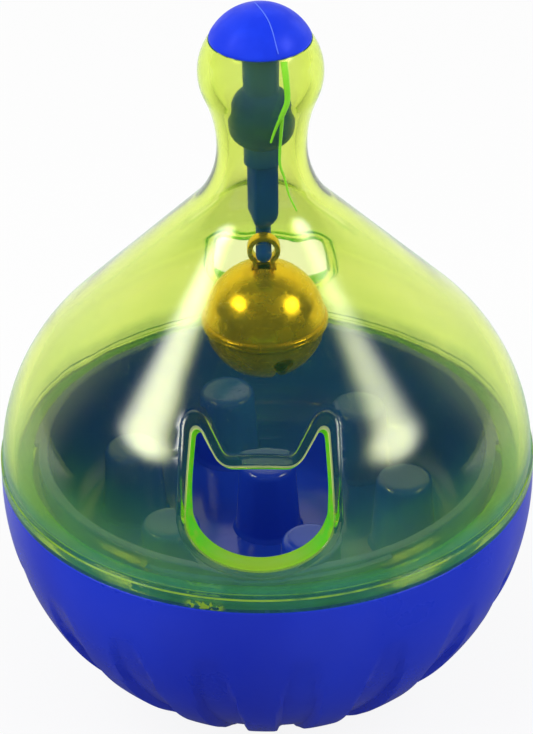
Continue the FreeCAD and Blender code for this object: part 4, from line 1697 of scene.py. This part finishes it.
@dataclass
class KnobPlug:
    """Soft plug: domed cap, column with centring ball, square stem and the bell hook."""

    drawn: DomeOutline
    wall: float
    cap_radius: float = 7.3
    cap_height: float = 4.9
    cap_edge: float = 0.35
    column: float = 2.6
    gap: float = 0.3
    ball_over_neck: float = 4.5
    column_under_neck: float = 2.7
    stem_side: float = 3.7
    stem_turn: float = 23.5
    stem_length: float = 8.6
    hook_drop: float = 6.15
    hook_radius: float = 1.15
    hook_back: float = 2.5
    hook_front: float = 2.3
    hook_bend: float = 1.7

    @property
    def bar(self) -> float:
        """Height of the hook's bar."""
        return self.drawn.neck_z - self.column_under_neck - self.stem_length - self.hook_drop

    def outline(self) -> np.ndarray:
        """Outline of cap, column and ball."""
        rim = self.drawn.top_z
        top = rim + self.cap_height
        rise = self.cap_height - self.cap_edge
        crown = (self.cap_radius ** 2 + rise ** 2) / (2 * rise)
        edge = math.degrees(math.asin((crown - rise) / crown))
        ball_z = self.drawn.neck_z + self.ball_over_neck
        reach = math.hypot(self.drawn.c3[0], self.ball_over_neck)
        ball = reach - (self.drawn.waist + self.wall) - self.gap
        meet = math.degrees(math.acos(self.column / ball))
        end = self.drawn.neck_z - self.column_under_neck
        shape = Profile(0, end).line(self.column, end, 0.3, 0.4)
        shape.line(self.column, ball_z - ball * math.sin(math.radians(meet)))
        shape.arc((0, ball_z), ball, -meet, meet, 0.25, 0.3).line(self.column, rim, 0.0)
        shape.line(self.cap_radius, rim, 0.12, 0.5).line(self.cap_radius, rim + self.cap_edge, 0.2, 0.1)
        shape.arc((0, top - crown), crown, edge, 90, 0.0, 0.35)
        return shape.traced()

    def stem(self) -> bpy.types.Object:
        """Square stem that narrows into the round hook, swept along its line."""
        end = self.drawn.neck_z - self.column_under_neck
        foot = end - self.stem_length
        bar, bend, back = self.bar, self.hook_bend, self.hook_back
        start, drop = foot + 0.4, bar + bend - foot - 0.4
        line: list[Point] = [(0.0, z) for z in (end + 0.6, end - 2.0, end - 5.0, start)]
        for k in range(1, 10):
            line.append((back * smooth(k / 10), start + drop * k / 10))
        for k in range(9):
            a = math.radians(90.0 * k / 8)
            line.append((back - bend + bend * math.cos(a), bar + bend - bend * math.sin(a)))
        line += [(back - bend - 0.8 * k, bar) for k in range(1, 3)]
        line += [(-1.6, bar), (-self.hook_front, bar)]
        nose = [math.radians(a) for a in (18, 36, 54, 70, 82)]
        line += [(-self.hook_front - self.hook_radius * math.sin(a), bar) for a in nose]
        pts = np.array(line)
        run = directions(pts)
        rings = []
        turns = np.radians(np.arange(40) * 9.0)
        c, s = np.cos(turns), np.sin(turns)
        for i, (y, z) in enumerate(pts):
            ease = smooth(float(np.clip((i - 3) / 8, 0, 1)))
            half = (1 - ease) * self.stem_side / 2 + ease * self.hook_radius
            power = 7.0 * (1 - ease) + 2.0 * ease
            if i >= len(pts) - len(nose):
                half = self.hook_radius * math.cos(nose[i - len(pts) + len(nose)])
            twist = math.radians(self.stem_turn) * (1 - ease)
            scale = half / (np.abs(c) ** power + np.abs(s) ** power) ** (1 / power)
            a, b = scale * c, scale * s
            across = a * math.cos(twist) - b * math.sin(twist)
            upward = a * math.sin(twist) + b * math.cos(twist)
            rings.append(np.stack([across, y - upward * run[i][1], z + upward * run[i][0]], -1))
        return MeshStock().tube(np.array(rings)).build("stem", 40.0)

    def make(self) -> None:
        """Builds and dresses the plug."""
        blue = SoftPlastic("blue soft plug", (0.002, 0.032, 0.70), (0.006, 0.046, 0.80))
        plug = MeshStock().turned(self.outline(), even_turns(128)).build("knob_plug_soft", 40.0)
        combine(plug, self.stem(), Join.UNION, 40.0)
        dress(plug, blue.make(), Body.PLUG, Slot.SOFT_PLUG, "knob_plug")


# ----------------------------------------------------------------- jingle bell


@dataclass
class JingleBell:
    """Pressed bell: two shells crimped at the middle, a strap loop, and a pellet inside."""

    bar: float
    hook_radius: float
    radius: float = 8.9
    wall: float = 0.5
    crimp_radius: float = 9.3
    crimp_height: float = 0.55
    slot_width: float = 1.8
    slot_hole: float = 1.5
    slot_angle: float = 65.0
    slot_turn: float = -70.6
    hole: float = 1.6
    strap: float = 0.85
    strap_width: float = 1.9
    strap_gap: float = 0.1
    leg_half: float = 1.7
    tab_reach: float = 2.6
    over_bell: float = 0.35
    hook_gap: float = 0.1

    @property
    def loop_z(self) -> float:
        """Height of the middle of the loop."""
        return self.bar + self.hook_radius + self.hook_gap - self.hole

    @property
    def centre(self) -> float:
        """Height of the middle of the bell."""
        return self.loop_z - self.hole - self.strap - self.over_bell - self.radius

    def half(self, upper: bool) -> bpy.types.Object:
        """One pressed shell with its crimped rim.

        Args:
            upper: Whether it is the upper one.

        Returns:
            The shell.
        """
        z, sign = self.centre, 1 if upper else -1
        inner, out = self.radius - self.wall, self.crimp_radius
        side = math.degrees(math.asin(self.crimp_height / self.radius)) * sign
        shape = Profile(0, z + sign * self.radius)
        shape.arc((0, z), self.radius, sign * 90, side + sign * 1.2, 0.0, 0.45)
        shape.line(out, z + sign * self.crimp_height, 0.22, 0.1).line(out, z, 0.12, 0.1)
        shape.line(inner, z, 0.0, 0.4).arc((0, z), inner, 0, sign * 90, 0.0, 0.6)
        name = "bell_upper_pressed" if upper else "bell_lower_pressed"
        return MeshStock().turned(shape.traced(), even_turns(144)).build(name, 40.0)

    def slot(self) -> bpy.types.Object:
        """Cutter of the sound slot with a round hole at each end."""
        a = math.radians(self.slot_angle)
        reach = self.radius * math.sin(a)
        deep = self.centre - self.radius * math.cos(a)
        rings = box_rings(reach, self.slot_width / 2, deep - self.radius, deep)
        cutter = MeshStock().tube(rings).build("slot_cutter")
        turns = even_turns(40)
        sideways = np.sin(turns)[:, None] * np.array([0, 1.0, 0])
        for side in (-1, 1):
            out = np.array([side * math.sin(a), 0, -math.cos(a)])
            up = np.array([side * math.cos(a), 0, math.sin(a)])
            start = np.array([0, 0, self.centre]) + out * (self.radius - 3)
            circle = self.slot_hole * (np.cos(turns)[:, None] * up + sideways)
            rod = MeshStock().tube(np.array([start + circle, start + out * 6 + circle]))
            combine(cutter, rod.build("hole_cutter"), Join.UNION)
        cutter.data.transform(Matrix.Rotation(math.radians(self.slot_turn), 4, "Z"))
        return cutter

    def strap_slot(self) -> bpy.types.Object:
        """Cutter of the slot that the strap loop goes through."""
        top, gap = self.centre + self.radius, self.strap_gap
        rings = box_rings(self.leg_half + gap, self.strap_width / 2 + gap, top - 2.5, top + 1.5)
        return MeshStock().tube(rings).build("strap_cutter")

    def loop(self) -> bpy.types.Object:
        """Strap bent into an eye, with two legs through the shell and two tabs under it."""
        mid, z = self.hole + self.strap / 2, self.loop_z
        leg = self.leg_half - self.strap / 2
        tab_z = self.centre + math.sqrt((self.radius - self.wall) ** 2 - self.tab_reach ** 2) - 0.5
        start = -math.degrees(math.acos(leg / mid))
        arc = [(mid * math.cos(math.radians(a)), z + mid * math.sin(math.radians(a)))
               for a in np.linspace(start, 180 - start, 49)]
        low = z + mid * math.sin(math.radians(start))
        down = [(leg, h) for h in np.linspace(low, tab_z + 0.6, 8)[1:]]
        out = [(leg + 0.18, tab_z + 0.22), (leg + 0.5, tab_z + 0.05), (self.tab_reach - 0.1, tab_z)]
        right = out[::-1] + down[::-1]
        path = np.array(right + arc + [(-x, h) for x, h in right[::-1]])
        turns = even_turns(28)
        c, s = np.cos(turns), np.sin(turns)
        scale = 1 / (np.abs(c) ** 5 + np.abs(s) ** 5) ** 0.2
        rings = []
        width, thick = scale * c * self.strap_width / 2, scale * s * self.strap / 2
        for (x, h), t in zip(path, directions(path)):
            rings.append(np.stack([x - thick * t[1], width, h + thick * t[0]], -1))
        return MeshStock().tube(np.array(rings)).build("bell_loop_strap", 40.0)

    def make(self) -> None:
        """Builds and dresses the bell."""
        brass = PlatedBrass("bell brass", (1.0, 0.60, 0.05), (0.42, 0.19, 0.01), self.centre)
        steel = BareMetal("tumbled steel", (0.55, 0.55, 0.57), (0.36, 0.34, 0.33),
                          roughness=0.25, lump_size=0.5, lump_depth=0.02)
        material = brass.make()
        upper, lower = self.half(True), self.half(False)
        combine(upper, self.strap_slot(), Join.DIFFERENCE, 40.0)
        combine(lower, self.slot(), Join.DIFFERENCE, 40.0)
        dress(upper, material, Body.BELL, Slot.BRASS, "bell_upper_shell")
        dress(lower, material, Body.BELL, Slot.BRASS, "bell_lower_shell")
        dress(self.loop(), material, Body.BELL, Slot.BRASS, "bell_hanging_loop")
        dress_node("bell_pellet", steel.make())


# --------------------------------------------------------------------- studio


@dataclass(frozen=True)
class Softbox:
    """One large soft lamp aimed at the object, and the soft-edged patch that polished faces mirror.

    Its distance, width and height are in metres. The spreads are the reach of the patch on the surround.
    """

    name: str
    azimuth: float
    elevation: float
    distance: float
    width: float
    height: float
    watts: float
    glow: float
    spread_across: float
    spread_up: float

    def way(self) -> Vector:
        """Direction from the object to the lamp."""
        a, e = math.radians(self.azimuth), math.radians(self.elevation)
        return Vector((math.sin(a) * math.cos(e), -math.cos(a) * math.cos(e), math.sin(e)))

    def patch(self, g: Graph, place: Socket) -> Socket:
        """Adds the lamp's mirror image to the surround.

        Args:
            g: The graph of the surround.
            place: Direction in which a ray leaves.

        Returns:
            Brightness of the patch in that direction.
        """
        way = self.way()
        across = Vector((0, 0, 1)).cross(way).normalized()
        up = way.cross(across)
        total: object = 0.0
        for axis, reach in ((across, self.spread_across), (up, self.spread_up)):
            off = g.vector("DOT_PRODUCT", place, tuple(axis)).outputs["Value"]
            part = g.sum("DIVIDE", off, math.sin(math.radians(reach)))
            total = g.sum("ADD", total, g.sum("MULTIPLY", part, part))
        ahead = g.vector("DOT_PRODUCT", place, tuple(way)).outputs["Value"]
        facing = g.sum("GREATER_THAN", ahead, 0.0)
        fall = g.sum("EXPONENT", g.sum("MULTIPLY", g.sum("MULTIPLY", total, total), -1.0))
        return g.sum("MULTIPLY", g.sum("MULTIPLY", fall, facing), self.glow)

    def make(self, aim: Vector) -> None:
        """Hangs the lamp.

        Args:
            aim: The point it faces.
        """
        data = bpy.data.lights.new(self.name, "AREA")
        data.shape = "RECTANGLE"
        data.size, data.size_y = self.width, self.height
        data.energy = self.watts
        lamp = placed(self.name, data)
        lamp.visible_glossy = False
        lamp.visible_transmission = False
        way = self.way()
        lamp.location = aim + way * self.distance
        lamp.rotation_mode = "QUATERNION"
        lamp.rotation_quaternion = way.to_track_quat("Z", "Y")


@dataclass
class Studio:
    """Camera, pale floor, two softboxes and a surround that is white behind the object.

    Places are in metres and the roll is in radians.
    """

    eye: tuple[float, float, float] = (0.0, -0.450, 0.34407)
    target: tuple[float, float, float] = (0.000129, 0.0, 0.05665)
    roll: float = -0.0166
    lens: float = 176.44
    ambient: float = 0.55
    dim: float = 0.035
    back: float = 1.0
    overhead: float = 0.1
    floor_glow: float = 0.88
    bounce: float = 0.5
    lamps: tuple[Softbox, ...] = (
        Softbox("softbox left", azimuth=-71.0, elevation=38.5, distance=0.60, width=0.66, height=0.60,
                watts=3.0, glow=14.0, spread_across=12.5, spread_up=7.4),
        Softbox("softbox right", azimuth=71.0, elevation=34.5, distance=0.60, width=0.44, height=0.60,
                watts=2.2, glow=12.0, spread_across=12.5, spread_up=9.0),
    )

    def camera(self) -> None:
        """Sets the camera at the photograph's viewing angle."""
        eye, target = Vector(self.eye), Vector(self.target)
        ahead = (target - eye).normalized()
        right = ahead.cross(Vector((0, 0, 1))).normalized()
        up = right.cross(ahead)
        c, s = math.cos(self.roll), math.sin(self.roll)
        turn = Matrix((right * c + up * s, up * c - right * s, -ahead)).transposed()
        data = bpy.data.cameras.new("camera")
        data.lens, data.sensor_width = self.lens, 36.0
        camera = placed("camera", data)
        camera.rotation_mode = "QUATERNION"
        camera.location = eye
        camera.rotation_quaternion = turn.to_quaternion()
        bpy.context.scene.camera = camera

    @staticmethod
    def seen(g: Graph) -> tuple[Socket, Socket]:
        """Tells what the camera sees, straight or mirrored, from what only lights the object.

        Args:
            g: The graph that asks.

        Returns:
            1 for a sharp view, and 1 for a mirrored one.
        """
        path = g.node("ShaderNodeLightPath").outputs
        ray = g.sum("MAXIMUM", path["Is Camera Ray"], path["Is Glossy Ray"])
        ray = g.sum("MAXIMUM", ray, path["Is Transmission Ray"])
        clear = g.sum("MULTIPLY", ray, g.sum("LESS_THAN", path["Diffuse Depth"], 0.5))
        return clear, g.sum("GREATER_THAN", path["Glossy Depth"], 0.5)

    def surround(self) -> None:
        """White behind the object, dim above and in front of it, plain soft light all round."""
        world = bpy.data.worlds.new("surround")
        bpy.context.scene.world = world
        world.use_nodes = True
        g = Graph(world.node_tree)
        g.tree.nodes.clear()
        place = g.node("ShaderNodeTexCoord").outputs["Generated"]
        way = g.node("ShaderNodeSeparateXYZ", {0: place}).outputs
        mirrored = g.spread(way[1], 0.1, 0.7, self.dim, self.back)
        mirrored = g.sum("ADD", mirrored, g.spread(way[2], 0.86, 0.97, 0.0, self.overhead))
        for lamp in self.lamps:
            mirrored = g.sum("ADD", mirrored, lamp.patch(g, place))
        clear, reflected = self.seen(g)
        level = g.between(clear, self.ambient, g.between(reflected, 1.0, mirrored))
        glow = g.node("ShaderNodeBackground", {"Color": (1, 1, 1, 1), "Strength": level})
        g.node("ShaderNodeOutputWorld", {"Surface": glow.outputs[0]})

    def floor(self) -> None:
        """Pale floor that keeps the object's soft shadow."""
        mesh = bpy.data.meshes.new("studio_floor")
        edge, sag = 4.0, -0.0002
        mesh.from_pydata([(-edge, -edge, sag), (edge, -edge, sag), (edge, edge, sag), (-edge, edge, sag)],
                         [], [(0, 1, 2, 3)])
        plane = placed("studio_floor", mesh)
        s = Shader("pale floor")
        speck = s.noise(40.0, 2.0)
        clear, reflected = self.seen(s)
        tone = s.blend(speck, (0.80, 0.80, 0.80, 1), (0.83, 0.83, 0.83, 1))
        tone = s.blend(clear, (self.bounce, self.bounce, self.bounce, 1), tone)
        matte = s.node("ShaderNodeBsdfDiffuse", {"Color": tone})
        split = s.node("ShaderNodeSeparateXYZ", {0: s.place})
        mirrored = s.spread(split.outputs[1], -0.05, 0.14, self.dim, self.back)
        level = s.between(reflected, 1.0, mirrored)
        share = s.between(reflected, self.floor_glow, 1.0)
        glow = s.node("ShaderNodeEmission", {"Color": (1, 1, 1, 1), "Strength": level})
        shown = s.mixed(s.sum("MULTIPLY", clear, share), matte.outputs[0], glow.outputs[0])
        mesh.materials.append(s.close(shown))

    def make(self) -> None:
        """Builds the whole studio."""
        self.camera()
        self.surround()
        self.floor()
        for lamp in self.lamps:
            lamp.make(Vector(self.target))
        bpy.context.scene.view_settings.view_transform = "Standard"
        LOG.info("studio: %d lamps", len(self.lamps))


def clear_start_scene() -> None:
    """Removes what Blender's start scene holds besides the frame."""
    kept = set(frame["nodes"].values()) | set(frame["bodies"].values())
    for obj in list(bpy.data.objects):
        if obj not in kept:
            bpy.data.objects.remove(obj)


def main() -> None:
    """Builds the dispenser and its studio."""
    logging.basicConfig(level=logging.INFO, format="%(name)s %(message)s")
    clear_start_scene()
    bpy.context.view_layer.update()
    Studio().make()
    base = FlutedBase()
    base.make()
    slug_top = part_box("ballast_slug")[1].z / MM
    FoodTray(base.seam, slug_top).make()
    dome = ClearDome(base.seam)
    lime = ClearTint("lime clear plastic", dome.seam, dome.drawn.neck_z - 3.0)
    dome.make(lime)
    MouldMarks(dome.drawn).make()
    plug = KnobPlug(dome.drawn, dome.wall)
    plug.make()
    JingleBell(plug.bar, plug.hook_radius).make()
    bpy.context.view_layer.update()


if __name__ == "__main__":
    main()
